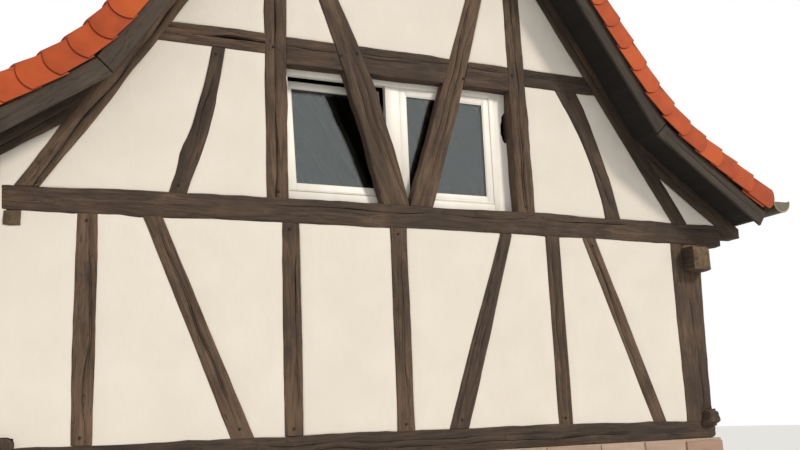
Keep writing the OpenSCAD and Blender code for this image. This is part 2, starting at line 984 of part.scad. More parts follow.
module closed_sashes() {
    color("white") upright(-half_l + sash_y, sash_t) sash_outline(right_light);
    color("white") mirror([0, 1, 0]) upright(-half_l + sash_y, sash_t) {
        sash_outline(left_light);
        sash_outline(right_light);
    }
}

module window_panes() {
    color("lightblue") tilted() upright(-half_l + pane_y, pane_t) pane_outline(left_light);
    color("lightblue") upright(-half_l + pane_y, pane_t) pane_outline(right_light);
    color("lightblue") mirror([0, 1, 0]) upright(-half_l + pane_y, pane_t) {
        pane_outline(left_light);
        pane_outline(right_light);
    }
}

// Side walls, drawn with Y as the outline's X

// Stands an outline up in the right wall, or in the left one
module in_wall(side, depth = 0, t = wall_t) {
    mirror([side < 0 ? 1 : 0, 0, 0])
        translate([half_w - depth - t, 0, sill_top]) rotate([90, 0, 90]) linear_extrude(t) children();
}

module side_post_outlines(top) {
    for (i = [0:side_posts_n - 1])
        translate([side_post_y(i) - side_post_w / 2, side_sill_z])
            square([side_post_w, top - side_sill_z]);
}

module side_brace_outlines(top) {
    for (s = [-1, 1]) {
        b = bay(0);
        intersection() {
            leaning(
                s * [b[1] - side_post_w, b[0] + side_post_w],
                [side_post_w, side_post_w], side_sill_z, top
            );
            mirror([s < 0 ? 1 : 0, 0])
                translate([b[0], side_sill_z]) square([b[1] - b[0], top - side_sill_z]);
        }
    }
}

module side_rail_outlines(skip) {
    for (i = [1:side_posts_n - 3])
        if (i != skip)
            translate([bay(i)[0], side_rail_z]) square([bay(i)[1] - bay(i)[0], side_rail_h]);
}

module side_window_bays(top) {
    for (i = window_bays)
        translate([bay(i)[0], side_rail_z + side_rail_h])
            square([bay(i)[1] - bay(i)[0], top - side_rail_z - side_rail_h]);
}

module side_posts() {
    color("sienna") in_wall(1) side_post_outlines(right_plate_low);
    color("sienna") in_wall(-1) side_post_outlines(left_plate_low);
}

module side_braces() {
    color("sienna") in_wall(1) side_brace_outlines(right_plate_low);
    color("sienna") in_wall(-1) side_brace_outlines(left_plate_low);
}

module side_rails() {
    color("sienna") in_wall(1) side_rail_outlines(-1);
    color("sienna") in_wall(-1) side_rail_outlines(door_bay);
}

// Plaster between the timbers of one side wall, up to the plate
module side_wall_outline(top, skip) {
    difference() {
        translate([-inner_l, side_sill_z]) square([2 * inner_l, top - side_sill_z]);
        side_post_outlines(top);
        side_brace_outlines(top);
        side_rail_outlines(skip);
        side_window_bays(top);
    }
}

// Plaster between the joist ends, from the plate up to the roof deck
module eaves_fill() {
    difference() {
        intersection() {
            translate([half_w - wall_t + recess, -inner_l, sill_top + tie_z])
                cube([wall_t - 2 * recess, 2 * inner_l, kink[1] - tie_z]);
            upright(-inner_l, 2 * inner_l) polygon([
                [0, 0], [sprocket_end, 0], [sprocket_end, shallow_z(sprocket_end, 0)], kink
            ]);
        }
        along_trusses() joist();
        along_trusses() upright(0, rafter_t) union() {
            rafter_outline();
            sprocket_outline();
        }
    }
}

module side_panels() {
    color("linen") in_wall(1, recess, wall_t - 2 * recess) side_wall_outline(right_plate_low, -1);
    color("linen") difference() {
        in_wall(-1, recess, wall_t - 2 * recess) side_wall_outline(left_plate_low, door_bay);
        door_gap();
    }
    color("linen") both_sides() eaves_fill();
}

module side_window_outline(b, low, high) {
    difference() {
        translate([b[0], low]) square([b[1] - b[0], high - low]);
        side_pane_outline(b, low, high);
    }
}

module side_pane_outline(b, low, high) {
    middle = (b[0] + b[1]) / 2;
    border = frame_w / 2 + sash_w;
    for (p = [[b[0] + border, middle - border / 2], [middle + border / 2, b[1] - border]])
        translate([p[0], low + border]) square([p[1] - p[0], high - low - 2 * border]);
}

module side_windows() {
    low = side_rail_z + side_rail_h;
    color("white") for (i = window_bays) {
        in_wall(1, window_back, frame_t) side_window_outline(bay(i), low, right_plate_low);
        in_wall(-1, window_back, frame_t) side_window_outline(bay(i), low, left_plate_low);
    }
}

module side_panes() {
    low = side_rail_z + side_rail_h;
    color("lightblue") for (i = window_bays) {
        in_wall(1, pane_y, pane_t) side_pane_outline(bay(i), low, right_plate_low);
        in_wall(-1, pane_y, pane_t) side_pane_outline(bay(i), low, left_plate_low);
    }
}

// Door and steps on the left side

module plank_door() {
    threshold_h = side_sill_h - side_sill_z;
    color("saddlebrown") in_wall(-1, wall_t / 2 - door_t / 2, door_t)
        translate([door_y[0], -threshold_h])
            square([door_y[1] - door_y[0], left_plate_low + threshold_h]);
}

module door_steps() {
    rise = side_plinth_h / risers;
    landing = door_y[1] - door_y[0];
    color("rosybrown") translate([-half_w - plinth_out - steps_w, door_y[0], 0]) {
        cube([steps_w, landing, side_plinth_h]);
        for (i = [1:risers - 1])
            translate([0, landing + (i - 1) * tread, 0])
                cube([steps_w, tread, side_plinth_h - i * rise]);
    }
}

plinth_front();
plinth_rear();
plinth_left();
plinth_right();
ground_floor();
gable_sills();
side_sills();
corner_posts();
lower_posts();
lower_braces();
lower_panels();
front_tie_beam();
tie_beams();
wall_plates();
attic_floor();
upper_posts();
window_struts();
curved_braces();
rails();
collars();
upper_panels();
left_rafters();
right_rafters();
sprockets();
left_roof_deck();
right_roof_deck();
left_tiles();
right_tiles();
ridge_tiles();
verge_boards();
verge_tiles();
fascias();
gutters();
window_frames();
tilted_sash();
closed_sashes();
window_panes();
side_posts();
side_braces();
side_rails();
side_panels();
side_windows();
side_panes();
plank_door();
door_steps();
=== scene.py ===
# %% [markdown]
# A half timbered house, dressed for its portrait.
# The frame of the house comes in as plain solids from the CAD model. They have the right sizes, but no
# real house has such sharp, even timbers. Each cell below takes one kind of piece, oak, plaster, stone,
# clay, metal, paint or glass, and gives it the shape that weather, tools and time give it.

# %% Load the frame
import math
import random

import bmesh
import bpy
import numpy as np
from mathutils import Matrix, Vector, noise


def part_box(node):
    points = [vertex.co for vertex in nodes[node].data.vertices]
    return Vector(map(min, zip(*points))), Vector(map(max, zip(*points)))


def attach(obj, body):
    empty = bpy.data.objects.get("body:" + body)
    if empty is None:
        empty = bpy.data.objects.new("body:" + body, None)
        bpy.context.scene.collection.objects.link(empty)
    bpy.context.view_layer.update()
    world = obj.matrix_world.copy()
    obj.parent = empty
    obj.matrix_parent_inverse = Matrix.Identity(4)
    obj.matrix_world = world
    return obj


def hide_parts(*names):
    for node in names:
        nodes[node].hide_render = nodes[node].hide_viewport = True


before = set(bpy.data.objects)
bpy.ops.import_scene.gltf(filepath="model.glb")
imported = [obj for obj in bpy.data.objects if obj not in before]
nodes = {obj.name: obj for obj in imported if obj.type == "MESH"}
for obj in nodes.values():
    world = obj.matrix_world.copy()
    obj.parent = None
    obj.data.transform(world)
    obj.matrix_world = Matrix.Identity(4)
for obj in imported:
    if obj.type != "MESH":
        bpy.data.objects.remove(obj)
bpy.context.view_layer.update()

# %% [markdown]
# Directions that every piece shares. The front gable faces -Y, X runs along it, Z is up.
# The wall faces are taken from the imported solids, so that nothing has to be measured twice.

# %% Faces of the house
X, Y, Z = Vector((1, 0, 0)), Vector((0, 1, 0)), Vector((0, 0, 1))
as_it_is = Matrix.Identity(4)
half_turn = Matrix.Rotation(math.pi, 4, "Z")
mirror_x, mirror_y = Matrix.Diagonal((-1, 1, 1, 1)), Matrix.Diagonal((1, -1, 1, 1))
gable_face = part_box("lower_posts")[1].y
wall_thick = 0.2
print("the gables stand", round(gable_face, 3), "m from the middle of the house")


def turned_outwards(point):
    """The way a wall faces at this point: a gable's where the point lies in a gable."""
    if abs(point.y) > gable_face - wall_thick:
        return Y if point.y > 0 else -Y
    return X if point.x > 0 else -X


# %% [markdown]
# Finishes are node trees. A small helper adds one node, sets its values and joins its sockets,
# so that each recipe below reads from the bottom of the tree to the shader in a few lines.
# Colours are written as they look on a screen, from 0 to 255, and turned into light values once.

# %% Helpers for finishes
def paint(r, g, b):
    """A colour as it looks on a screen, turned into the light values that a shader wants."""
    def light(c):
        c /= 255
        return c / 12.92 if c <= 0.04045 else ((c + 0.055) / 1.055) ** 2.4
    return (light(r), light(g), light(b), 1.0)


class Recipe:
    """One finish while it is being mixed."""

    def __init__(self, name, **sockets):
        self.material = bpy.data.materials.new(name)
        self.material.use_nodes = True
        self.tree = self.material.node_tree
        self.shader = self.tree.nodes["Principled BSDF"]
        for socket, value in sockets.items():
            self.set(self.shader, socket.replace("_", " "), value)

    def set(self, node, socket, value):
        target = node.inputs[socket]
        if isinstance(value, bpy.types.NodeSocket):
            self.tree.links.new(value, target)
        else:
            target.default_value = value

    def add(self, kind, settings=None, **sockets):
        node = self.tree.nodes.new("ShaderNode" + kind)
        for key, value in (settings or {}).items():
            setattr(node, key, value)
        for socket, value in sockets.items():
            name = int(socket[1:]) if socket[0] == "_" else socket.replace("_", " ")
            self.set(node, name, value)
        return node

    def place(self, *scale):
        """Object coordinates, stretched."""
        found = self.add("TexCoord").outputs["Object"]
        return self.add("Mapping", Vector=found, Scale=scale).outputs[0]

    def grain(self, *scale):
        """Coordinates that follow a timber: first along it, then across it."""
        found = self.add("Attribute", {"attribute_name": "grain"}).outputs["Vector"]
        return self.add("Mapping", Vector=found, Scale=scale).outputs[0]

    def mark(self, name="tone"):
        """A number from 0 to 1 that a mesh carries, such as the tone of each timber, stone or tile."""
        return self.add("Attribute", {"attribute_name": name}).outputs["Fac"]

    def cloud(self, vector, detail=4.0, roughness=0.5, distortion=0.0):
        return self.add("TexNoise", Vector=vector, Scale=1.0, Detail=detail,
                        Roughness=roughness, Distortion=distortion).outputs["Fac"]

    def math(self, operation, a, b=0.0, c=0.0):
        return self.add("Math", {"operation": operation}, _0=a, _1=b, _2=c).outputs[0]

    def ramp(self, factor, *stops):
        """Colours at their places between 0 and 1."""
        node = self.add("ValToRGB", Fac=factor)
        band = node.color_ramp.elements
        while len(band) < len(stops):
            band.new(0.5)
        for element, (position, colour) in zip(band, stops):
            element.position = position
            element.color = paint(*colour)
        return node.outputs["Color"]

    def spread(self, factor, low, high, to_low=0.0, to_high=1.0):
        return self.add("MapRange", Value=factor, From_Min=low, From_Max=high,
                        To_Min=to_low, To_Max=to_high).outputs[0]

    def mix(self, factor, a, b):
        """Two colours. The second one is written as numbers, or comes from another node."""
        node = self.add("Mix", {"data_type": "RGBA"})
        self.set(node, 0, factor)
        self.set(node, 6, a)
        self.set(node, 7, paint(*b) if isinstance(b, tuple) else b)
        return node.outputs[2]

    def finish(self, colour, height=None, depth=0.002, strength=1.0, roughness=None):
        self.set(self.shader, "Base Color", colour)
        if roughness is not None:
            self.set(self.shader, "Roughness", roughness)
        if height is not None:
            bump = self.add("Bump", Height=height, Distance=depth, Strength=strength)
            self.set(self.shader, "Normal", bump.outputs[0])
        return self.material


# %% [markdown]
# Oak that has stood in the weather for centuries turns grey brown. Its soft early wood wears away and
# leaves fine ridges along the grain, and long checks open as it dries. A picture of wood could be
# wrapped round each timber, but it would repeat and would have to be unwrapped for every one of them.
# Noise that is stretched along the grain needs neither. The colour and the bump both follow the grain,
# so they read the coordinates that each timber carries along its own length, and not the world's.

# %% Weathered oak
def weathered_oak(name, dark, middle, pale, streaks=1.0):
    oak = Recipe(name, Roughness=0.86)
    fibre = oak.cloud(oak.grain(4.5, 80.0, 80.0), detail=6.0, roughness=0.65, distortion=0.3)
    figure = oak.cloud(oak.grain(1.6, 13.0, 13.0), detail=4.0, distortion=1.4)
    patch = oak.cloud(oak.place(1.7, 1.7, 1.7), detail=3.0, distortion=0.5)
    pits = oak.spread(oak.cloud(oak.grain(16.0, 70.0, 70.0), detail=3.0), 0.62, 0.72)
    split = oak.cloud(oak.grain(0.9, 17.0, 17.0), detail=3.0, distortion=0.9)
    split = oak.spread(oak.math("ABSOLUTE", oak.math("SUBTRACT", split, 0.5)), 0.0, 0.009)
    body = oak.math("MULTIPLY_ADD", fibre, 0.45 * streaks, oak.math("MULTIPLY", figure, 0.55))
    body = oak.math("ADD", body, oak.spread(oak.mark(), 0.0, 1.0, -0.1, 0.1))
    body = oak.math("ADD", body, oak.spread(patch, 0.3, 0.7, -0.09, 0.09))
    colour = oak.ramp(body, (0.26, dark), (0.5, middle), (0.77, pale))
    colour = oak.mix(oak.math("MULTIPLY", pits, 0.5), colour, dark)
    colour = oak.mix(oak.spread(split, 0.0, 1.0, 0.75, 0.0), colour, (26, 20, 16))
    rings = oak.cloud(oak.place(17.0, 17.0, 17.0), detail=5.0, distortion=0.6)
    sawn_end = oak.ramp(rings, (0.3, (74, 58, 42)), (0.5, (106, 86, 60)), (0.7, (126, 104, 74)))
    colour = oak.mix(oak.math("MULTIPLY", oak.mark("end_grain"), 0.9), colour, sawn_end)
    # Painted shade: points at the bottom of a check turn nearly black.
    colour = oak.mix(oak.spread(oak.mark("check_shade"), 0.05, 0.5), colour, (15, 11, 9))
    height = oak.math("MULTIPLY_ADD", fibre, 0.5, oak.math("MULTIPLY", split, 0.45))
    height = oak.math("MULTIPLY_ADD", pits, -0.35, height)
    return oak.finish(colour, height, depth=0.008, strength=0.8)


oak = weathered_oak("weathered oak", (40, 32, 25), (72, 56, 43), (111, 88, 67))
board_wood = weathered_oak("weathered boards", (56, 48, 40), (74, 63, 52), (92, 79, 65), streaks=0.3)

# %% [markdown]
# Lime plaster is smoothed by hand between the timbers. It is warm white, never one even colour, and the
# trowel leaves shallow strokes in it. The strokes and the sand in the lime are too shallow to be worth a
# dense mesh, so they are clouds in the bump.

# %% Lime plaster
plaster = Recipe("lime plaster", Roughness=0.92)
waves = plaster.cloud(plaster.place(2.2, 2.2, 2.2), detail=3.0)
strokes = plaster.cloud(plaster.place(9.0, 9.0, 5.0), detail=4.0, distortion=1.2)
sand = plaster.cloud(plaster.place(160, 160, 160), detail=2.0)
lime = plaster.ramp(waves, (0.3, (223, 215, 203)), (0.55, (226, 218, 206)), (0.75, (229, 221, 210)))
lime = plaster.mix(plaster.spread(strokes, 0.45, 0.75, 0.0, 0.1), lime, (211, 200, 184))
relief = plaster.math("MULTIPLY_ADD", strokes, 0.7, plaster.math("MULTIPLY", sand, 0.18))
lime_plaster = plaster.finish(lime, relief, depth=0.006, strength=0.55)

# %% [markdown]
# The plinth is sandstone. Most blocks are buff with a pinkish cast, some are paler and some redder. A
# brick pattern in one material could colour a flat wall. Here every stone is a block of its own, so it
# carries its own tone, and the finish adds only what runs through it: level bedding lines, grit and dark
# stains.

# %% Sandstone and its mortar
stone = Recipe("sandstone", Roughness=0.94)
beds = stone.cloud(stone.place(2.5, 2.5, 26.0), detail=4.0, distortion=0.6)
grit = stone.cloud(stone.place(90, 90, 90), detail=3.0)
stains = stone.cloud(stone.place(3.0, 3.0, 3.0), detail=4.0)
face = stone.ramp(stone.mark(), (0.0, (152, 120, 104)), (0.3, (170, 142, 124)), (0.55, (182, 160, 140)),
                  (0.8, (160, 128, 112)), (1.0, (192, 174, 154)))
face = stone.mix(stone.spread(beds, 0.3, 0.75, 0.0, 0.4), face, (138, 106, 90))
face = stone.mix(stone.spread(stains, 0.52, 0.8, 0.0, 0.45), face, (104, 84, 70))
rough_face = stone.math("MULTIPLY_ADD", grit, 0.5, stone.math("MULTIPLY", beds, 0.6))
sandstone = stone.finish(face, rough_face, depth=0.006, strength=0.7)

bed = Recipe("lime mortar", Roughness=0.96)
lumps = bed.cloud(bed.place(35, 35, 35), detail=5.0)
mortar = bed.finish(bed.ramp(lumps, (0.3, (146, 130, 110)), (0.7, (186, 170, 148))), lumps, depth=0.006)

# %% [markdown]
# Beaver tail tiles are fired clay. A batch is never even, so each tile carries its own tone between
# orange and red, with darker flashes from the kiln. One finish that reads this tone serves thousands of
# tiles, where a material for each of them would be slow to render. The rims of the verge tiles are
# painted darker, as painted shade on their thin edges.

# %% Fired clay
def fired_clay(name, low, middle, high):
    clay = Recipe(name, Roughness=0.78, Specular_IOR_Level=0.3)
    flash = clay.cloud(clay.place(5.0, 5.0, 5.0), detail=4.0)
    pores = clay.cloud(clay.place(120, 120, 120), detail=3.0)
    shade = clay.math("MULTIPLY_ADD", flash, 0.5, clay.math("MULTIPLY", clay.mark(), 0.6))
    colour = clay.ramp(shade, (0.2, low), (0.52, middle), (0.85, high))
    colour = clay.mix(clay.spread(pores, 0.5, 0.8, 0.0, 0.25), colour, low)
    # Painted shade: faces that carry the rim mark turn dark red brown.
    colour = clay.mix(clay.math("MULTIPLY", clay.mark("rim"), 0.7), colour, (74, 34, 24))
    return clay.finish(colour, pores, depth=0.0012, strength=0.5)


verge_clay = fired_clay("new clay tile", (140, 60, 34), (178, 78, 36), (200, 96, 46))
roof_clay = fired_clay("roof clay tile", (118, 54, 36), (160, 72, 44), (188, 96, 60))

# %% [markdown]
# The window is painted white. Glass lets light through and its strength lies in its reflections, so it
# gets no colour pattern, only a faint dusting in its roughness. The grey spacer between two panes is
# drawn metal.

# %% Window paint, glass and spacer
white = Recipe("window paint", Roughness=0.42)
dust = white.cloud(white.place(6, 6, 3), detail=5.0)
brush = white.cloud(white.grain(5.0, 260.0, 260.0), detail=2.0)
coat = white.ramp(dust, (0.3, (240, 236, 228)), (0.62, (233, 227, 216)), (0.85, (214, 204, 188)))
window_paint = white.finish(coat, brush, depth=0.0008, strength=0.4)

clear = Recipe("window glass", Base_Color=paint(236, 243, 242), IOR=1.52, Transmission_Weight=1.0)
smear = clear.cloud(clear.place(4, 4, 4), detail=3.0)
clear.set(clear.shader, "Roughness", clear.spread(smear, 0.4, 0.8, 0.0, 0.03))
window_glass = clear.material

drawn_metal = Recipe("glass spacer", Metallic=0.8, Roughness=0.5)
dull = drawn_metal.cloud(drawn_metal.place(30, 30, 30), detail=2.0)
spacer_metal = drawn_metal.finish(drawn_metal.ramp(dull, (0.3, (96, 98, 100)), (0.7, (128, 130, 132))))

# %% [markdown]
# The gutters have dulled to an olive grey. Their rolled rims and end caps are painted paler, as a
# painted highlight where they catch the light.
# Clean metal would mirror the sky, so this one is only half metallic, and its roughness follows the same
# cloud as its colour. The door's fittings are blackened iron.

# %% Gutter metal and iron
zinc = Recipe("gutter metal", Metallic=0.55)
patina = zinc.cloud(zinc.place(7, 7, 7), detail=6.0, roughness=0.65)
runs = zinc.cloud(zinc.place(14, 3, 5), detail=4.0)
skin = zinc.ramp(patina, (0.32, (58, 50, 40)), (0.52, (82, 73, 58)), (0.72, (104, 96, 78)))
skin = zinc.mix(zinc.spread(runs, 0.5, 0.75, 0.0, 0.45), skin, (70, 68, 56))
# Painted highlight: faces that carry the rim mark, the wire rims fully and the end caps a little, turn
# pale.
skin = zinc.mix(zinc.math("MULTIPLY", zinc.mark("rim"), 0.8), skin, (166, 156, 130))
gutter_metal = zinc.finish(skin, patina, depth=0.001, strength=0.5,
                           roughness=zinc.spread(patina, 0.3, 0.7, 0.4, 0.7))

forged = Recipe("blackened iron", Metallic=0.7)
scale_marks = forged.cloud(forged.place(40, 40, 40), detail=4.0)
iron = forged.finish(forged.ramp(scale_marks, (0.35, (34, 32, 31)), (0.7, (66, 58, 50))), scale_marks,
                     depth=0.001, roughness=0.55)

# %% [markdown]
# Sawn boards close the floors and the roof under the tiles, with a dark joint between every two of them.
# They are hardly seen, so the joints are lines in the finish and not cuts in the mesh. The boards that
# show under the eaves are painted nearly black, as painted shade under the eaves.

# %% Sawn boards
sawn = Recipe("sawn boards", Roughness=0.88)
saw = sawn.cloud(sawn.place(2.0, 18.0, 18.0), detail=5.0)
bands = {"wave_type": "BANDS", "bands_direction": "X"}
joints = sawn.add("TexWave", bands, Vector=sawn.place(1, 1, 1), Scale=2.2).outputs["Fac"]
joints = sawn.spread(joints, 0.0, 0.06)
planed = sawn.ramp(saw, (0.3, (70, 54, 40)), (0.55, (104, 82, 62)), (0.8, (132, 108, 82)))
planed = sawn.mix(sawn.spread(joints, 0.0, 1.0, 0.85, 0.0), planed, (30, 23, 18))
height = sawn.math("MULTIPLY_ADD", joints, 0.8, sawn.math("MULTIPLY", saw, 0.2))
sawn_boards = sawn.finish(planed, height, depth=0.006)

# Painted shade: the boards under the eaves are coloured nearly black for the shade that lies there.
soffit_shade = Recipe("soffit boards", Roughness=0.9)
knots = soffit_shade.cloud(soffit_shade.place(9.0, 0.8, 9.0), detail=5.0)
soffit = soffit_shade.ramp(knots, (0.3, (19, 15, 12)), (0.6, (30, 24, 19)), (0.85, (42, 34, 27)))
soffit_boards_in_shade = soffit_shade.finish(soffit, knots, depth=0.003)
print("finishes mixed:", len(bpy.data.materials))

# %% [markdown]
# Before a timber can be worn, each solid of a CAD node has to stand alone as a clean mesh. The packed
# meshes are loose triangles. They are never changed: a copy is merged, split into its solids, and its
# flat triangles dissolved.

# %% Solids of a CAD node
def merged_copy(node):
    """A copy of a CAD mesh whose triangles are joined at their corners."""
    bm = bmesh.new()
    bm.from_mesh(nodes[node].data)
    bmesh.ops.remove_doubles(bm, verts=bm.verts, dist=2e-5)
    return bm


def join_flat_faces(bm):
    bmesh.ops.dissolve_limit(bm, angle_limit=math.radians(0.1), verts=bm.verts, edges=bm.edges)


def solids_of(node):
    """Each solid of a CAD node as a bmesh of its own, with whole flat faces."""
    whole = merged_copy(node)
    whole.verts.index_update()
    waiting, found = set(whole.verts), []
    while waiting:
        reach = [waiting.pop()]
        group = {reach[0].index}
        while reach:
            for edge in reach.pop().link_edges:
                for vert in edge.verts:
                    if vert in waiting:
                        waiting.remove(vert)
                        group.add(vert.index)
                        reach.append(vert)
        found.append(group)
    for group in sorted(found, key=min):
        solid = whole.copy()
        others = [v for v in solid.verts if v.index not in group]
        bmesh.ops.delete(solid, geom=others, context="VERTS")
        join_flat_faces(solid)
        yield solid
    whole.free()


def middle_of(bm):
    return sum((v.co for v in bm.verts), Vector()) / len(bm.verts)


def extent(bm, axis):
    along = [v.co.dot(axis) for v in bm.verts]
    return min(along), max(along)


# %% [markdown]
# The steps that come back in nearly every piece: cut a block, take the sharpness off its edges, cut it
# across so that it can bend, pull a sheet out into a thickness, and push all points at once. Edit mode
# has the same operators as tools for the hand. As functions they work in a loop on hundreds of pieces.

# %% Helpers that shape
def brick(low, high):
    """A sharp block between two corners, to be shaped further."""
    bm = bmesh.new()
    bmesh.ops.create_cube(bm, size=1.0)
    bmesh.ops.scale(bm, vec=high - low, verts=bm.verts)
    bmesh.ops.translate(bm, vec=(low + high) / 2, verts=bm.verts)
    return bm


def sharp_edges(bm, angle=25):
    return [e for e in bm.edges if len(e.link_faces) == 2 and e.calc_face_angle(0) > math.radians(angle)]


def round_off(bm, radius, segments=2, edges=None):
    """Takes the sharpness off edges, as a plane, a brush or the weather does."""
    chosen = sharp_edges(bm) if edges is None else edges
    bmesh.ops.bevel(bm, geom=chosen, offset=radius, offset_type="OFFSET", segments=segments,
                    profile=0.5, affect="EDGES", clamp_overlap=True, material=-1)


def cut_across(bm, axis, places):
    """Adds a line of points round the piece at each place along an axis, so that it can bend there."""
    for place in places:
        bmesh.ops.bisect_plane(bm, geom=bm.verts[:] + bm.edges[:] + bm.faces[:], dist=1e-5,
                               plane_co=axis * place, plane_no=axis)


def steps(low, high, gap):
    """Places between two ends, about a gap apart."""
    count = max(1, round((high - low) / gap))
    return [low + (high - low) * i / count for i in range(1, count)]


def points_in(geom):
    """The points among the things that an operator gives back."""
    return [v for v in geom if isinstance(v, bmesh.types.BMVert)]


def drawn_out(bm, way):
    """A sheet pulled out along a vector, with its faces turned outwards."""
    pulled = bmesh.ops.extrude_face_region(bm, geom=bm.faces[:])["geom"]
    bmesh.ops.translate(bm, verts=points_in(pulled), vec=way)
    bmesh.ops.recalc_face_normals(bm, faces=bm.faces)
    return bm


def thickened_inwards(bm, thick):
    """A shell round the Y axis that gets its thickness towards that axis."""
    for vert in points_in(bmesh.ops.extrude_face_region(bm, geom=bm.faces[:])["geom"]):
        vert.co -= Vector((vert.co.x, 0, vert.co.z)).normalized() * thick
    bmesh.ops.recalc_face_normals(bm, faces=bm.faces)
    return bm


def push(bm, moves):
    """Moves each point by its own vector, once all the vectors are known."""
    for vert, move in zip(bm.verts, moves):
        vert.co += move


def shift_of(dice, reach):
    """A place in the noise for one piece, so that no two pieces look the same."""
    return Vector([dice.uniform(0, reach) for _ in range(3)])


# %% [markdown]
# A finished piece is one mesh with one finish. It also carries what its finish reads: the direction of
# the grain, a tone, and marks such as a crack or a rim. All pieces ride on the house as one rigid body.

# %% Helpers that finish a piece
def new_layers(bm):
    return bm.verts.layers.float_vector.new("grain"), bm.verts.layers.float.new("tone")


def marked(bm, name, value):
    """Writes one number into every point, for the finish to read."""
    layer = bm.verts.layers.float.new(name)
    for vert in bm.verts:
        vert[layer] = value
    return bm


def as_mesh(bm, name="leaf"):
    mesh = bpy.data.meshes.new(name)
    bm.to_mesh(mesh)
    bm.free()
    return mesh


def joined(parts):
    """One mesh of many parts, with every mark that any of them carries."""
    whole = bmesh.new()
    whole.verts.layers.float_vector.new("grain")
    for mark in sorted({"tone"}.union(*(part.verts.layers.float.keys() for part in parts))):
        whole.verts.layers.float.new(mark)
    for part in parts:
        leaf = as_mesh(part)
        whole.from_mesh(leaf)
        bpy.data.meshes.remove(leaf)
    return whole


def gather(parts, name, finish, replaced=(), angle=38):
    """Joins parts into one finished piece, smooth where its faces meet at less than an angle."""
    whole = joined(parts)
    loose = sum(not edge.is_manifold for edge in whole.edges)
    mesh = as_mesh(whole, name)
    mesh.shade_smooth()
    mesh.set_sharp_from_angle(angle=math.radians(angle))
    mesh.materials.append(finish)
    piece = bpy.data.objects.new(name, mesh)
    bpy.context.scene.collection.objects.link(piece)
    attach(piece, "root")
    if replaced:
        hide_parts(*replaced)
    triangles = sum(len(p.vertices) - 2 for p in mesh.polygons)
    print(f"{name}: {triangles} triangles, {loose} edges that are not closed")


# %% [markdown]
# Drying opens long checks in an oak beam. A boolean could cut them, but on a face that waves it often
# leaves the mesh open. So the face gets a few lines of points for each check. They are pushed into the
# wood and carry a mark that the oak's recipe paints nearly black, as painted shade in the depth of the
# check. Each check is planned first: where it runs on the face, how wide it gapes and how deep it goes.
# It fades out at both ends and wanders a little.

# %% Grain and drying checks
def grain_axes(bm, outwards):
    """The way the grain runs, the way across the outer face, and the way out of it."""
    points = np.array([v.co for v in bm.verts])
    along = Vector(np.linalg.svd(points - points.mean(0), full_matrices=False)[2][0])
    if along.z < 0 or (abs(along.z) < 0.1 and along.x < 0):
        along = -along
    across = along.cross(outwards).normalized()
    return along, across, across.cross(along).normalized()


def planned_checks(dice, sides, ends, count, split, split_from):
    """For each check: its place across the face, half its width, its start, its stop and its depth."""
    (left, right), (low, high) = sides, ends
    found = []
    for i in range(count):
        place = left + (right - left) * dice.uniform(0.25, 0.75)
        start = low + (high - low) * dice.uniform(-0.1, 0.45)
        stop = start + (high - low) * dice.uniform(0.35, 0.9)
        half, depth = dice.uniform(0.0025, 0.005), dice.uniform(0.008, 0.018)
        if split and i == 0:
            place = left + (right - left) * dice.uniform(0.46, 0.54)
            start, stop = low + split_from, high + 0.4
            half, depth = split, split * 4
        found.append((place, half, start, stop, depth))
    return found


def opened(run, side, checks, shift):
    """How far a point of the outer face moves across it and into it, and how dark it is painted as shade in
    a check.
    """
    sideways = inwards = dark = 0.0
    for place, half, start, stop, depth in checks:
        if abs(side - place) < half * 1.4 and start < run < stop:
            fade = min(1.0, (run - start) / 0.3, (stop - run) / 0.3)
            wander = noise.noise(Vector((run * 2.1, place, 0)) + shift) * 0.035
            open_by = 1.0 + 1.1 * noise.noise(Vector((run * 3.7, 0, place)) + shift)
            sideways += wander * fade + (side - place) * (open_by * fade - 1.0)
            if abs(side - place) < half * 0.5:
                inwards += depth * fade * open_by
                dark = fade
    return sideways, inwards, dark


# %% [markdown]
# A hewn timber. The carpenter squared it with an axe, so its faces wave a little and its arrises are
# never straight. Sculpting would do for one timber, and noise does it for all of them: the solid is
# rounded along its arrises, cut across every hand's breadth and pushed in and out by smooth noise that
# is stretched along the grain. Ends that stand in the rain are rounded away, and carry a mark for the
# end grain. Timbers inside the house, which nobody sees from near, stay plain.

# %% Hewn timbers
near_end, worn_reach = (0.015, 0.04, 0.08), 0.12


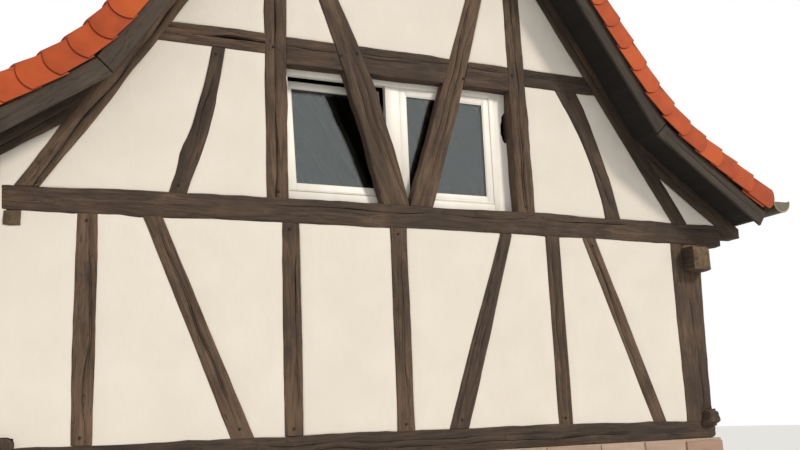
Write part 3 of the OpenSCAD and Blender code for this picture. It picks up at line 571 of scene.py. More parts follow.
def hewn(solid, dice, arris=0.009, gap=0.1, wave=0.011, checks=2, fine=True, ends=0.0, split=0.0,
         split_from=-0.4, bow=0.0, lump=None, pale=0.0, bare_ends=0.25):
    """One timber, worn. A lump is given by its place along it, its flank, its height and its reach."""
    along, across, out = grain_axes(solid, turned_outwards(middle_of(solid)))
    low, high = extent(solid, along)
    left, right = extent(solid, across)
    back, front = extent(solid, out)
    round_off(solid, arris)
    cut_across(solid, along, steps(low, high, gap))
    openings = []
    if fine:
        cut_across(solid, across, steps(left, right, 0.07))
        cut_across(solid, out, steps(back, front, 0.1))
        count = checks if right - left > 0.12 else min(1, checks)
        openings = planned_checks(dice, (left, right), (low, high), count, split, split_from)
        for place, half, *_ in openings:
            cut_across(solid, across, (place - half, place, place + half))
        if ends:
            cut_across(solid, along, [low + d for d in near_end] + [high - d for d in near_end])
    shift = shift_of(dice, 90)
    tone = dice.random() + pale
    grain_layer, tone_layer = new_layers(solid)
    # This mark paints the bottom of each check nearly black, as painted shade.
    check_shade_layer = solid.verts.layers.float.new("check_shade")
    end_layer = solid.verts.layers.float.new("end_grain")
    solid.normal_update()
    moves = []
    for vert in solid.verts:
        run, side, deep = vert.co.dot(along), vert.co.dot(across), vert.co.dot(out)
        vert[grain_layer] = Vector((run, side, deep)) + shift
        vert[tone_layer] = tone
        vert[end_layer] = bare_ends if abs(vert.normal.dot(along)) > 0.8 else 0.0
        bend = noise.noise(Vector((run * 1.7, side * 1.5, deep * 1.5)) + shift) * wave * 1.5
        axe = noise.noise(Vector((run * 6.0, side * 9.0, deep * 9.0)) + shift) * wave * 0.8
        if abs(vert.normal.dot(out)) > 0.7:
            move = vert.normal * ((bend + axe) * 0.35 + 0.001)
        else:
            move = vert.normal * (bend + axe + wave * 0.3)
        part = (run - low) / (high - low)
        move += across * bow * math.sin(math.pi * min(1.0, max(0.0, part)))
        if lump:
            where, flank, height, reach = lump
            if vert.normal.dot(across) * flank > 0.5:
                move += across * flank * height * math.exp(-((part - where) / reach) ** 2)
        from_end = min(run - low, high - run)
        if ends and from_end < worn_reach:
            pull = (1 - from_end / worn_reach) ** 2 * (1 + 0.7 * noise.noise(vert.co * 14 + shift))
            pull *= 2 * ends
            move -= across * (side - (left + right) / 2) / (right - left) * pull
            move -= out * (deep - (back + front) / 2) / (front - back) * pull
        if vert.normal.dot(out) > 0.8:
            sideways, inwards, vert[check_shade_layer] = opened(run, side, openings, shift)
            move += across * sideways - out * inwards
        moves.append(move)
    push(solid, moves)
    return solid


# %% [markdown]
# The timbers of each node become one piece. Posts beside the window have split, the sills have rotted
# round at their ends, and a few single timbers differ from the rest: each of those is found by its node
# and by a box that its middle lies in.

# %% The timbers of the frame
on_side_walls = ("side_posts", "side_braces", "side_rails", "side_sills", "wall_plates")
wear = {
    "upper_posts": {"split": 0.0065},
    "wall_plates": {"ends": 0.006, "bare_ends": 1.0},
    "lower_posts": {"wave": 0.007},
    "lower_braces": {"wave": 0.006},
    "corner_posts": {"pale": 0.4},
    "gable_sills": {"ends": 0.03, "pale": -0.3, "bare_ends": 0.0},
    "side_sills": {"ends": 0.035, "pale": -0.5, "bare_ends": 0.0},
    "front_tie_beam": {"ends": 0.006, "checks": 1},
}
remarkable = (
    ("rails", (-2.7, -5, 5), (-1.6, -4, 6), {"split": 0.017, "split_from": 0.35}),
    ("wall_plates", (-5, -1, 3), (-3, 1, 4), {"bare_ends": 0.2}),
    ("curved_braces", (-3, -5, 3), (-1.5, -4, 6), {"bow": 0.022, "lump": (0.27, -1, 0.035, 0.1)}),
    ("curved_braces", (1.5, -5, 3), (3, -4, 6), {"lump": (0.95, -1, 0.022, 0.12)}),
    ("window_struts", (-1, -5, 3), (0.02, -4, 9), {"bow": 0.012}),
)
for node in ("gable_sills", "side_sills", "corner_posts", "lower_posts", "lower_braces", "front_tie_beam",
             "tie_beams", "wall_plates", "upper_posts", "window_struts", "curved_braces", "rails",
             "collars", "left_rafters", "right_rafters", "sprockets", "side_posts", "side_braces",
             "side_rails"):
    name = "oak_" + node.removesuffix("_beam")
    dice = random.Random(name)
    parts = []
    for solid in solids_of(node):
        place = middle_of(solid)
        if abs(place.y) < gable_face - wall_thick and node not in on_side_walls:
            parts.append(hewn(solid, dice, fine=False, gap=0.5))
            continue
        settings = dict(wear.get(node, {}))
        for where, low, high, more in remarkable:
            if where == node and all(a < c < b for a, c, b in zip(low, place, high)):
                settings.update(more)
        parts.append(hewn(solid, dice, **settings))
    gather(parts, name, oak, (node,))

# %% [markdown]
# The panels between the timbers. The plasterer pulls the lime up to the oak and rounds it back with the
# trowel, so each panel is a shallow pillow with a soft shadow line along the timber. A wide bevel of its
# outer rim gives this form. A panel reaches a little under the timbers round it, as on the real house,
# so that no gap opens where an arris waves.

# %% Plaster panels
def grow_sideways(bm, out, by):
    """Moves the side faces of a flat piece outwards."""
    bm.normal_update()
    moves = []
    for vert in bm.verts:
        ways = [f.normal for f in vert.link_faces if abs(f.normal.dot(out)) < 0.5]
        first = ways[0]
        other = min(ways, key=first.dot)
        moves.append((first + other) * by / max(0.35, 1 + first.dot(other)))
    push(bm, moves)


def pillowed(solid, dice, under=0.028, rounding=0.055, gap=0.17):
    out = turned_outwards(middle_of(solid))
    level = Z.cross(out).normalized()
    face = extent(solid, out)[1]
    grow_sideways(solid, out, under)
    rim = [e for e in sharp_edges(solid) if all(abs(v.co.dot(out) - face) < 1e-4 for v in e.verts)]
    round_off(solid, rounding, segments=4, edges=rim)
    for axis in (level, Z):
        cut_across(solid, axis, steps(*extent(solid, axis), gap))
    grain_layer, tone_layer = new_layers(solid)
    tone = dice.random()
    solid.normal_update()
    moves = []
    for vert in solid.verts:
        vert[grain_layer] = vert.co
        vert[tone_layer] = tone
        wave = noise.noise(vert.co * 1.6) * 0.004 + noise.noise(vert.co * 7.0) * 0.002
        moves.append(vert.normal * wave)
    push(solid, moves)
    return solid


for name, node in (("plaster_lower_gables", "lower_panels"), ("plaster_upper_gables", "upper_panels"),
                   ("plaster_side_walls", "side_panels")):
    dice = random.Random(name)
    gather([pillowed(solid, dice) for solid in solids_of(node)], name, lime_plaster, (node,))

# %% [markdown]
# The roof is laid with beaver tail tiles: flat clay tiles with a round tail, hung over battens in level
# courses. Here they lie in crown covering. Every batten carries two layers, shifted by half a tile, so
# that each joint is covered. The CAD model has one smooth layer of the right thickness. Its surface is
# measured with rays from above, and everything on the roof is then placed by its distance from the eaves
# along that line.

# %% The slope of the roof
from mathutils.bvhtree import BVHTree


def slope_line(node, count=260):
    """The tile surface from the eaves up to the ridge, as points in the plane of the gable."""
    mesh = nodes[node].data
    skin = BVHTree.FromPolygons([v.co for v in mesh.vertices], [p.vertices[:] for p in mesh.polygons])
    low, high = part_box(node)
    start, stop = high.x - 0.0004, low.x + 0.0004
    places = [Vector((start + (stop - start) * i / count, 0, high.z + 1)) for i in range(count + 1)]
    hits = [skin.ray_cast(place, -Z)[0] for place in places]
    return [Vector((hit.x, hit.z)) for hit in hits]


slope = slope_line("right_tiles")
climbed = [0.0]
for lower, upper in zip(slope, slope[1:]):
    climbed.append(climbed[-1] + (upper - lower).length)
slope_length = climbed[-1]


def on_slope(distance, depth=0.0):
    """The point at this distance from the eaves, and this far under the tile surface."""
    place = min(max(distance, 0.0), slope_length - 1e-4)
    i = max(1, next(i for i, reached in enumerate(climbed) if reached > place))
    way = (slope[i] - slope[i - 1]).normalized()
    out = Vector((-way.y, way.x))
    out = out if out.y > 0 else -out
    point = slope[i - 1] + way * (distance - climbed[i - 1]) - out * depth
    return Vector((point.x, 0, point.y))


print("slope from eaves to ridge:", round(slope_length, 3), "m")

# %% [markdown]
# One tile. A point is spun into the arc of the tail, the arc is pulled up into a flat sheet, and the
# sheet gets its thickness. That is a few dozen faces, which matters for a shape that is laid thousands of
# times. Its lowest point lies at the origin, its head points along Y and its face along Z.

# %% A beaver tail tile
def beaver_tail(width, length, thick, drop, segments):
    bm = bmesh.new()
    radius = (width * width / 4 + drop * drop) / (2 * drop)
    half = math.asin(min(1.0, width / 2 / radius))
    centre = Vector((0, radius, 0))
    first = bm.verts.new(centre + Matrix.Rotation(-half, 3, "Z") @ Vector((0, -radius, 0)))
    bmesh.ops.spin(bm, geom=[first], cent=centre, axis=Z, angle=2 * half, steps=segments)
    for vert in points_in(bmesh.ops.extrude_edge_only(bm, edges=bm.edges[:])["geom"]):
        vert.co.y = length
    return drawn_out(bm, (0, 0, -thick))


def lay(bm, mesh, matrix, tone):
    """Adds a copy of a mesh, placed by a matrix and with a tone of its own, kept between 0 and 1."""
    bm.from_mesh(mesh)
    bm.verts.ensure_lookup_table()
    fresh = bm.verts[-len(mesh.vertices):]
    bmesh.ops.transform(bm, matrix=matrix, verts=fresh)
    tones = bm.verts.layers.float["tone"]
    for vert in fresh:
        vert[tones] = min(1.0, max(0.0, tone))


tile_wide, tile_long, tile_thick = 0.1755, 0.38, 0.012
field_tile = as_mesh(beaver_tail(tile_wide, tile_long, tile_thick, 0.034, 5), "field_tile")
print("a tile has", sum(len(p.vertices) - 2 for p in field_tile.polygons), "triangles")

# %% [markdown]
# Tiles are stiff, so on the sweep at the eaves each one lies as a straight chord. Its tail rests on the
# course below and its head sinks by the thickness of two tiles, and by what the sweep rises over the
# chord. The courses are a few centimetres closer on the sweep than on the steep part. An array modifier
# would lay all tiles alike, so a loop lays them, and each gets its own tone and a hair of play. The left
# slope is the right one turned by half a turn, so nothing has to be mirrored.

# %% Courses of the roof
even_gauge, below_ridge, sweep_radius = 0.3, 0.12, 3.0
half_length, joint = 5.004, 0.0032


def seat(tail, length, sink, depth=0.0):
    """Where a tile lies whose tail is this far up: X along the eaves, Y up the slope, Z out of it."""
    foot = on_slope(tail, depth)
    head = on_slope(tail + length, depth + sink)
    up = (head - foot).normalized()
    return Matrix.Translation(foot) @ Matrix((Y, up, Y.cross(up))).transposed().to_4x4()


def courses(first):
    """Distances of the tails from the eaves: the given gauges first, then an even one to the ridge."""
    tails = [0.0]
    for gauge in first:
        tails.append(tails[-1] + gauge)
    while tails[-1] + even_gauge < slope_length - below_ridge:
        tails.append(tails[-1] + even_gauge)
    return tails


def shaken(dice, across):
    """A tile's place along its course, a hair out of true, as no tiler lays two alike."""
    slid = Matrix.Translation((across, dice.uniform(-0.004, 0.004), 0))
    swung = Matrix.Rotation(dice.gauss(0, 0.006), 4, "Z")
    return slid @ swung @ Matrix.Rotation(dice.uniform(0, 0.008), 4, "X")


def tiled_slope(name, tails, side, node):
    dice = random.Random(name)
    rows = []
    count = round(2 * half_length / (tile_wide + joint))
    pitch = 2 * half_length / count
    for tail, next_tail in zip(tails, tails[1:] + [tails[-1] + even_gauge]):
        gauge = next_tail - tail
        length = min(tile_long, slope_length - tail + 0.03)
        rise = gauge * (tile_long - gauge) / (2 * sweep_radius)
        sink = (2 * tile_thick + 0.003 + rise) * length / gauge
        shade = dice.uniform(-0.06, 0.06)
        for layer in (0, 1):
            row = bmesh.new()
            new_layers(row)
            base = seat(tail + 0.006 * layer, length, sink, depth=(tile_thick + 0.001) * layer)
            for k in range(count + layer):
                across = -half_length + pitch * (k + 0.5 - 0.5 * layer)
                narrow = 1.0
                if layer and k in (0, count):
                    narrow = 0.5
                    across += pitch / 4 if k == 0 else -pitch / 4
                cut = Matrix.Diagonal((narrow, length / tile_long, 1, 1))
                place = side @ base @ shaken(dice, across) @ cut
                lay(row, field_tile, place, dice.triangular(0.2, 0.8, 0.5) + shade)
            rows.append(row)
    gather(rows, name, roof_clay, (node,))


right_courses = courses((0.335, 0.28, 0.26, 0.275, 0.275, 0.305))
left_courses = courses((0.26,) * 8)
tiled_slope("roof_tiles_right", right_courses, as_it_is, "right_tiles")
tiled_slope("roof_tiles_left", left_courses, half_turn, "left_tiles")

# %% [markdown]
# Under the tiles lie the battens and a closed layer of boards and felt. It is a copy of the CAD layer
# with its upper face let down under the heads of the tiles and its ends drawn in behind the hung tiles.

# %% The layer under the tiles
def under_layer(name, node, side, sunk=0.074, half_long=4.985, eaves=0.06):
    layer = merged_copy(node)
    for vert in layer.verts:
        spot = side.inverted() @ vert.co
        away = [(point - Vector((spot.x, spot.z))).length for point in slope]
        near = away.index(min(away))
        on_top = away[near] < 0.05
        if on_top:
            lower = on_slope(climbed[near], sunk)
            spot.x, spot.z = lower.x, lower.z
        if climbed[near] < eaves:
            spot += (on_slope(0.09) - on_slope(0.0)) * (0.5 if on_top else 0.4)
        spot.y = max(-half_long, min(half_long, spot.y))
        vert.co = side @ spot
    join_flat_faces(layer)
    gather([layer], name, sawn_boards, (node,))


under_layer("battens_right", "right_tiles", as_it_is)
under_layer("battens_left", "left_tiles", half_turn)

# %% [markdown]
# Along each verge a row of larger tiles hangs upright and covers the edge of the roof. They lean back a
# little at the top, each lies over the next one below, and each tail stands out at its lower corner.
# Their rims are rounded, because this row is seen closest and its thin edges catch the light.

# %% Hung tiles of the verges
hung_wide, hung_long = 0.272, 0.40
hung_out, first_out = 5.0345, 5.014
hung = beaver_tail(hung_wide, hung_long, 0.015, 0.05, 10)
round_off(hung, 0.0028)
# The faces round each rim get the mark that the clay's recipe paints darker, as painted shade.
painted_shade_rim_layer = hung.verts.layers.float.new("rim")
hung.normal_update()
for vert in hung.verts:
    vert[painted_shade_rim_layer] = 1.0 if abs(vert.normal.z) < 0.93 else 0.0
hung_tile = as_mesh(hung, "hung_tile")


def hung_seat(tail, length, top, swing, out):
    """X points from the wall of the gable's slope outwards, Y up the slope, Z out of the front gable."""
    under = top + hung_wide / 2
    foot, head = on_slope(tail, under), on_slope(tail + length * 0.62, under)
    up = (head - foot).normalized()
    axes = Matrix((up.cross(-Y), up, -Y)).transposed().to_4x4()
    lean = Matrix.Rotation(math.radians(8.5), 4, "Y") @ Matrix.Rotation(math.radians(-2.9), 4, "X")
    return Matrix.Translation(foot - Y * out) @ axes @ Matrix.Rotation(swing, 4, "Z") @ lean


def verge_row(name, tails, side):
    dice = random.Random(name)
    row = bmesh.new()
    new_layers(row)
    row.verts.layers.float.new("rim")
    for i, tail in enumerate(tails):
        length = min(hung_long, slope_length - tail + 0.06)
        shorter = Matrix.Diagonal((1, length / hung_long, 1, 1))
        swing = (0.014 if tails is right_courses else 0.004) + dice.gauss(0, 0.006)
        top = 0.018 + dice.gauss(0, 0.0015)
        out = hung_out + dice.uniform(-0.001, 0.001)
        place = hung_seat(tail if i else -0.02, length, top, swing, out)
        lay(row, hung_tile, side @ place @ shorter, dice.gauss(0.5, 0.17))
    lay(row, hung_tile, side @ hung_seat(0.05, hung_long, 0.046, -0.012, first_out), 0.8)
    bmesh.ops.recalc_face_normals(row, faces=row.faces)
    return row


rows = []
for tails, side in ((right_courses, as_it_is), (left_courses, mirror_x)):
    for far in (as_it_is, mirror_y):
        rows.append(verge_row(f"hung {len(rows)}", tails, far @ side))
gather(rows, "verge_tiles_hung", verge_clay, ("verge_tiles",), angle=50)

# %% [markdown]
# Half round ridge tiles lie along the top, each over the end of the next, bedded in mortar. One tile is
# an arc that is spun from a point, pulled into a slightly tapering shell and thickened. The mortar below
# is the CAD solid, drawn in.

# %% Ridge
ridge_low, ridge_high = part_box("ridge_tiles")
ridge_radius = ridge_high.x
ridge_axis = ridge_high.z - ridge_radius
ridge_count, overlap = 27, 0.05
ridge_pitch = (ridge_high.y - ridge_low.y - 0.06) / ridge_count


def ridge_tile(length, wide, tight, thick):
    bm = bmesh.new()
    foot = math.radians(13)
    start = bm.verts.new((-wide * math.cos(foot), 0, -wide * math.sin(foot)))
    bmesh.ops.spin(bm, geom=[start], cent=(0, 0, 0), axis=Y, angle=math.pi + 2 * foot, steps=16)
    for vert in points_in(bmesh.ops.extrude_edge_only(bm, edges=bm.edges[:])["geom"]):
        vert.co = Vector((vert.co.x * tight / wide, length, vert.co.z * tight / wide))
    thickened_inwards(bm, thick)
    round_off(bm, 0.003, segments=1)
    return bm


cap = as_mesh(ridge_tile(ridge_pitch + overlap, ridge_radius - 0.001, ridge_radius - 0.02, 0.015))
dice = random.Random("ridge")
row = bmesh.new()
new_layers(row)
for i in range(ridge_count):
    turn = Matrix.Rotation(dice.gauss(0, 0.004), 4, "Z")
    place = Matrix.Translation((0, ridge_low.y + i * ridge_pitch + 0.0015, ridge_axis - 0.0015))
    lay(row, cap, place @ turn, dice.gauss(0.5, 0.2))
gather([row], "ridge_tiles_laid", roof_clay, ("ridge_tiles",), angle=40)

ridge_bed = merged_copy("ridge_tiles")
for vert in ridge_bed.verts:
    away = Vector((vert.co.x, 0, vert.co.z - ridge_axis))
    if away.z > 0 and away.length > ridge_radius - 0.01:
        vert.co -= away * 0.24
    vert.co.y = max(ridge_low.y + 0.012, min(ridge_high.y - 0.012, vert.co.y))
gather([ridge_bed], "ridge_mortar", mortar, ("ridge_tiles",))

# %% [markdown]
# The verge boards are two boards each, which meet where the roof begins to sweep. Each CAD board is cut
# there by a plane through the two corners of its bend, the lower half steps down a little, and both are
# worn like planed wood.

# %% Verge boards and fascias
def half_of(solid, point, normal):
    """The part of a solid in front of a plane, closed again where it was cut."""
    part = solid.copy()
    geom = part.verts[:] + part.edges[:] + part.faces[:]
    cut = bmesh.ops.bisect_plane(part, geom=geom, dist=1e-6, plane_co=point, plane_no=normal,
                                 clear_inner=True)
    rim = [e for e in cut["geom_cut"] if isinstance(e, bmesh.types.BMEdge)]
    bmesh.ops.edgeloop_fill(part, edges=rim)
    bmesh.ops.recalc_face_normals(part, faces=part.faces)
    return part


dice = random.Random("verge boards")
boards = []
near_ridge, near_eaves, step = 0.5, 4.3, 0.004
for solid in solids_of("verge_boards"):
    face = min(v.co.y for v in solid.verts)
    bend = [v.co.copy() for v in solid.verts
            if near_ridge < abs(v.co.x) < near_eaves and v.co.y < face + 1e-3]
    bend.sort(key=lambda p: p.z)
    normal = (bend[1] - bend[0]).cross(Y).normalized()
    if normal.z > 0:
        normal = -normal
    upper, lower = half_of(solid, bend[0], -normal), half_of(solid, bend[0], normal)
    inwards = Y * (-step if face > 0 else step)
    bmesh.ops.translate(lower, verts=lower.verts, vec=normal * step - Z * 0.012 + inwards)
    boards += [hewn(half, dice, arris=0.004, gap=0.35, wave=0.0025, checks=1) for half in (upper, lower)]
    solid.free()
gather(boards, "verge_boards_planed", board_wood, ("verge_boards",))

dice = random.Random("fascias")
boards = [hewn(solid, dice, arris=0.003, gap=0.6, wave=0.002, checks=0, fine=False)
          for solid in solids_of("fascias")]
gather(boards, "fascia_boards", board_wood, ("fascias",))

# %% [markdown]
# The gutters are half round troughs of thin metal. A point spun by half a turn gives the section, which
# is pulled along the eaves and thickened inwards. The other shapes are a round bar for the rolled bead, a
# half disc with a raised rim for the ends, and a strap whose tail runs back to the fascia.

# %% Shapes of sheet metal
gutter_low, gutter_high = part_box("gutters")
gutter_radius = gutter_high.z - gutter_low.z


def trough(radius, start, stop, thick, segments=22):
    """A half round shell between two places along the eaves."""
    bm = bmesh.new()
    first = bm.verts.new((-radius, start, 0))
    bmesh.ops.spin(bm, geom=[first], cent=(0, 0, 0), axis=-Y, angle=math.pi, steps=segments)
    pulled = bmesh.ops.extrude_edge_only(bm, edges=bm.edges[:])["geom"]
    bmesh.ops.translate(bm, verts=points_in(pulled), vec=(0, stop - start, 0))
    return thickened_inwards(bm, thick)


def upright_circle(centre):
    return Matrix.Translation(centre) @ Matrix.Rotation(math.pi / 2, 4, "X")


def round_bar(radius, start, stop, x, z, segments=10):
    """A round bar along the eaves."""
    bm = bmesh.new()
    bmesh.ops.create_circle(bm, cap_ends=True, radius=radius, segments=segments,
                            matrix=upright_circle((x, start, z)))
    return drawn_out(bm, (0, stop - start, 0))


def end_cap(place, thick):
    """A half disc that closes the trough, with a wire rim round its edge."""
    disc = bmesh.new()
    bmesh.ops.create_circle(disc, cap_ends=True, radius=gutter_radius - 0.006, segments=44,
                            matrix=upright_circle((0, place, 0)))
    bmesh.ops.bisect_plane(disc, geom=disc.verts[:] + disc.edges[:] + disc.faces[:], dist=1e-5,
                           plane_co=(0, 0, 0), plane_no=Z, clear_outer=True)
    wire = bmesh.new()
    circle = Matrix.Translation((-gutter_radius + 0.009, place + thick / 2, 0))
    bmesh.ops.create_circle(wire, cap_ends=False, radius=0.008, segments=8, matrix=circle)
    bmesh.ops.spin(wire, geom=wire.verts[:] + wire.edges[:], cent=(0, 0, 0), axis=-Y, angle=math.pi,
                   steps=22)
    bmesh.ops.holes_fill(wire, edges=[e for e in wire.edges if e.is_boundary], sides=12)
    bmesh.ops.recalc_face_normals(wire, faces=wire.faces)
    # The disc and its wire rim carry the mark that the gutter's recipe paints paler, as painted highlight.
    return [marked(drawn_out(disc, (0, thick, 0)), "rim", 0.22), marked(wire, "rim", 1.0)]


def strap(place, width, thick):
    """A flat strap round the trough, whose tail runs back to the fascia."""
    back, top = -gutter_radius + 0.015, -0.009
    tail = brick(Vector((back - 0.15, place - width / 2, top - 0.006)),
                 Vector((back, place + width / 2, top)))
    round_off(tail, 0.0015, segments=1)
    return [trough(gutter_radius - 0.0006, place - width / 2, place + width / 2, thick, segments=14), tail]


# %% [markdown]
# One gutter is put together from these shapes. Its front rim is rolled into a bead, soldered laps join
# the lengths, and a strap carries it at every sprocket. The other gutter is the same one, turned round.

# %% Gutters
ends = (gutter_low.y + 0.004, gutter_high.y - 0.004)
sheet, lap_places, lap_long = 0.003, (-1.7, 1.65), 0.05
strap_wide, drawn_together = 0.026, 0.985
metal = [trough(gutter_radius - 0.004, *ends, sheet),
         round_bar(0.009, *ends, gutter_radius - 0.011, 0.004),
         round_bar(0.004, *ends, -gutter_radius + 0.008, 0.002, segments=6)]
for lap in lap_places:
    metal.append(trough(gutter_radius - 0.002, lap, lap + lap_long, 0.004))
for place in (ends[0], ends[1] - sheet):
    metal += end_cap(place, sheet)
sprockets = [(solid, middle_of(solid)) for solid in solids_of("sprockets")]
for place in sorted({round(middle.y, 2) for solid, middle in sprockets if middle.x > 0}):
    metal += strap(place * drawn_together, strap_wide, sheet)
for solid, middle in sprockets:
    solid.free()
right_gutter = joined(metal)
bmesh.ops.translate(right_gutter, verts=right_gutter.verts,
                    vec=(gutter_high.x - gutter_radius, 0, gutter_high.z))
left_gutter = right_gutter.copy()
bmesh.ops.transform(left_gutter, verts=left_gutter.verts, matrix=half_turn)
gather([right_gutter, left_gutter], "gutters_half_round", gutter_metal, ("gutters",))

# %% [markdown]
# The plinth is a wall of sandstone blocks in level courses of uneven height. A face that was dressed
# with a pick is never flat. Each block is a cube that gets the size of its place, loses its sharp rims,
# is cut a few times and is then pushed about by smooth noise. This takes far fewer faces than a
# displacement of the whole wall, and leaves real joints.

# %% Helpers for stones
highest_course = 0.36


def block(low, high, dice, rim=0.018, rough=0.008, gap=0.14):
    """One dressed stone that fills the space between two corners."""
    bm = brick(Vector(low), Vector(high))
    for vert in bm.verts:
        vert.co += Vector([dice.uniform(-1, 1) for _ in range(3)]) * rough * 0.6
    round_off(bm, rim)
    for axis in (X, Y, Z):
        cut_across(bm, axis, steps(*extent(bm, axis), gap))
    grain_layer, tone_layer = new_layers(bm)
    shift = shift_of(dice, 50)
    tone = dice.random()
    bm.normal_update()
    moves = []
    for vert in bm.verts:
        vert[grain_layer] = vert.co + shift
        vert[tone_layer] = tone
        moves.append(vert.normal * (noise.noise(vert.co * 4.5 + shift) - 0.55) * rough)
    push(bm, moves)
    return bm


def bed_joints(low, high, dice):
    """Heights of the level joints between two heights, with courses of uneven height."""
    beds = [low]
    while high - beds[-1] > highest_course:
        beds.append(beds[-1] + dice.uniform(0.17, 0.31))
    if len(beds) > 1 and high - beds[-1] < 0.13:
        beds.pop()
    return beds + [high]


def joints_between(low, high, dice, shortest=0.3, longest=0.72):
    """Places of the upright joints of one course."""
    places = [low]
    while high - places[-1] > longest * 1.3:
        places.append(places[-1] + dice.uniform(shortest, longest))
    return places + [high]


# %% [markdown]
# The courses run level round the house. At the corners long and short stones take turns: in one course
# the corner stone lies along the gable, in the next along the side wall, and so the two walls hold each
# other. The mortar between the stones is the CAD plinth, drawn in behind their faces.

# %% Plinth
front_low, front_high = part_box("plinth_front")
left_low, left_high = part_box("plinth_left")
stone_depth, half_joint, mortar_back = 0.12, 0.007, 0.0235
short_quoin, long_quoin, corner_reach = 0.3, 0.56, 0.28
corner_depth = left_low.y - front_low.y - 0.004
gable_beds = bed_joints(0.0, front_high.z, random.Random("beds"))
side_beds = gable_beds[:-1] + [left_high.z]
if side_beds[-1] - side_beds[-2] > highest_course:
    side_beds = gable_beds + [left_high.z]
crossing_courses = len(gable_beds) - 2


def stone_wall(name, run, beds, face, place, is_gable):
    """Blocks along X with their faces at -Y, turned to their wall by a matrix."""
    dice = random.Random(name)
    stones = []
    first, last = run
    for course, (bottom, top) in enumerate(zip(beds, beds[1:])):
        reach = corner_reach if course % 2 == 0 and course < crossing_courses else 0.0
        if is_gable:
            quoin = short_quoin if reach else long_quoin
            joints = [first] + joints_between(first + quoin, last - quoin, dice) + [last]
        else:
            joints = joints_between(first + reach, last - reach, dice)
        for i, (start, stop) in enumerate(zip(joints, joints[1:])):
            at_corner = is_gable and i in (0, len(joints) - 2)
            depth = corner_depth + reach if at_corner else stone_depth
            wavy = dice.uniform(-0.014, 0.018) if top == beds[-1] else 0.0
            start += 0 if start == first else half_joint
            stop -= 0 if stop == last else half_joint
            stone = block((start, face + dice.uniform(0.0, 0.006), bottom + half_joint),
                          (stop, face + depth, top - half_joint + wavy), dice)
            bmesh.ops.transform(stone, matrix=place, verts=stone.verts)
            stones.append(stone)
    return stones


to_right, to_left = Matrix.Rotation(math.pi / 2, 4, "Z"), Matrix.Rotation(-math.pi / 2, 4, "Z")
gable_wall = ((front_low.x, front_high.x), gable_beds, front_low.y)
side_wall = ((left_low.y, left_high.y), side_beds, left_low.x)
for name, wall, place in (("front", gable_wall, as_it_is), ("rear", gable_wall, half_turn),
                          ("left", side_wall, to_left), ("right", side_wall, to_right)):
    stones = stone_wall("plinth " + name, *wall, place, wall is gable_wall)
    gather(stones, f"plinth_stones_{name}", sandstone)

for name in ("front", "rear", "left", "right"):
    core = merged_copy("plinth_" + name)
    for vert in core.verts:
        for i, limit in ((0, front_high.x), (1, -front_low.y)):
            if abs(vert.co[i]) > limit - 1e-3:
                vert.co[i] -= math.copysign(mortar_back, vert.co[i])
    gather([core], "mortar_" + name, mortar, ("plinth_" + name,))

# %% [markdown]
# The steps to the door are a stack of long blocks. Centuries of feet have worn the middle of each tread.
# The blocks are already cut across for their rough faces, so the points of a tread only have to sink by
# a smooth hump.

# %% Door steps
steps_low, steps_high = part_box("door_steps")
step_count, rise, tread, step_joint = 7, 0.2, 0.29, 0.003
middle, half_wide = (steps_low.x + steps_high.x) / 2, 0.44
worn_by, trodden = 0.016, 0.5
dice = random.Random("door steps")
stones = []
for level in range(step_count):
    front = steps_high.y - level * tread
    joints = joints_between(steps_low.y, front, dice, 0.55, 1.0)
    for start, stop in zip(joints, joints[1:]):
        low = (steps_low.x, start + step_joint, level * rise + 0.005)
        high = (steps_high.x, stop - step_joint, (level + 1) * rise)
        stone = block(low, high, dice, rim=0.016, rough=0.006, gap=0.11)
        for vert in stone.verts:
            if vert.normal.z > 0.5 and stop > front - trodden:
                across = (vert.co.x - middle) / half_wide
                vert.co.z -= worn_by * max(0.0, 1 - across * across)
        stones.append(stone)
gather(stones, "door_steps_worn", sandstone, ("door_steps",))

# %% [markdown]
# Joinery is made of planed members that meet in tight joints. One helper makes such a member between two
# corners, eases its rims and writes the direction of its grain into it, so that brush marks run along
# each piece of wood.

# %% Planed members
def member(low, high, rim=0.003, tone=0.5):
    low, high = Vector(low), Vector(high)
    bm = brick(low, high)
    round_off(bm, rim)
    grain_layer, tone_layer = new_layers(bm)
    order = sorted(range(3), key=lambda i: low[i] - high[i])
    for vert in bm.verts:
        vert[grain_layer] = Vector([vert.co[i] for i in order])
        vert[tone_layer] = tone
    return bm


def ring_of(low, high, opening_low, opening_high, rim=0.003, gap=0.0006):
    """Four members round an opening: two uprights in full height, two rails between them."""
    (x0, y0, z0), (x1, y1, z1) = low, high
    (u0, v0), (u1, v1) = opening_low, opening_high
    return [member((x0, y0, z0), (u0, y1, z1), rim), member((u1, y0, z0), (x1, y1, z1), rim),
            member((u0 + gap, y0, z0), (u1 - gap, y1, v0), rim),
            member((u0 + gap, y0, v1), (u1 - gap, y1, z1), rim)]


def turned(parts, matrix):
    for part in parts:
        bmesh.ops.transform(part, matrix=matrix, verts=part.verts)
        if matrix.determinant() < 0:
            bmesh.ops.recalc_face_normals(part, faces=part.faces)
    return parts


# %% [markdown]
# A sash: four members, thin beads round the glass, a drip rail at the foot, and a double pane. Two sheets
# with a grey spacer between them reflect twice, which gives the glass its doubled edge lines and more
# shine than one solid sheet.

# %% A sash
ease, bead, edge_wide = 0.0035, 0.011, 0.014
sheet_places, sheet_thick, sheet_lap = (0.0155, 0.0355), 0.004, 0.004


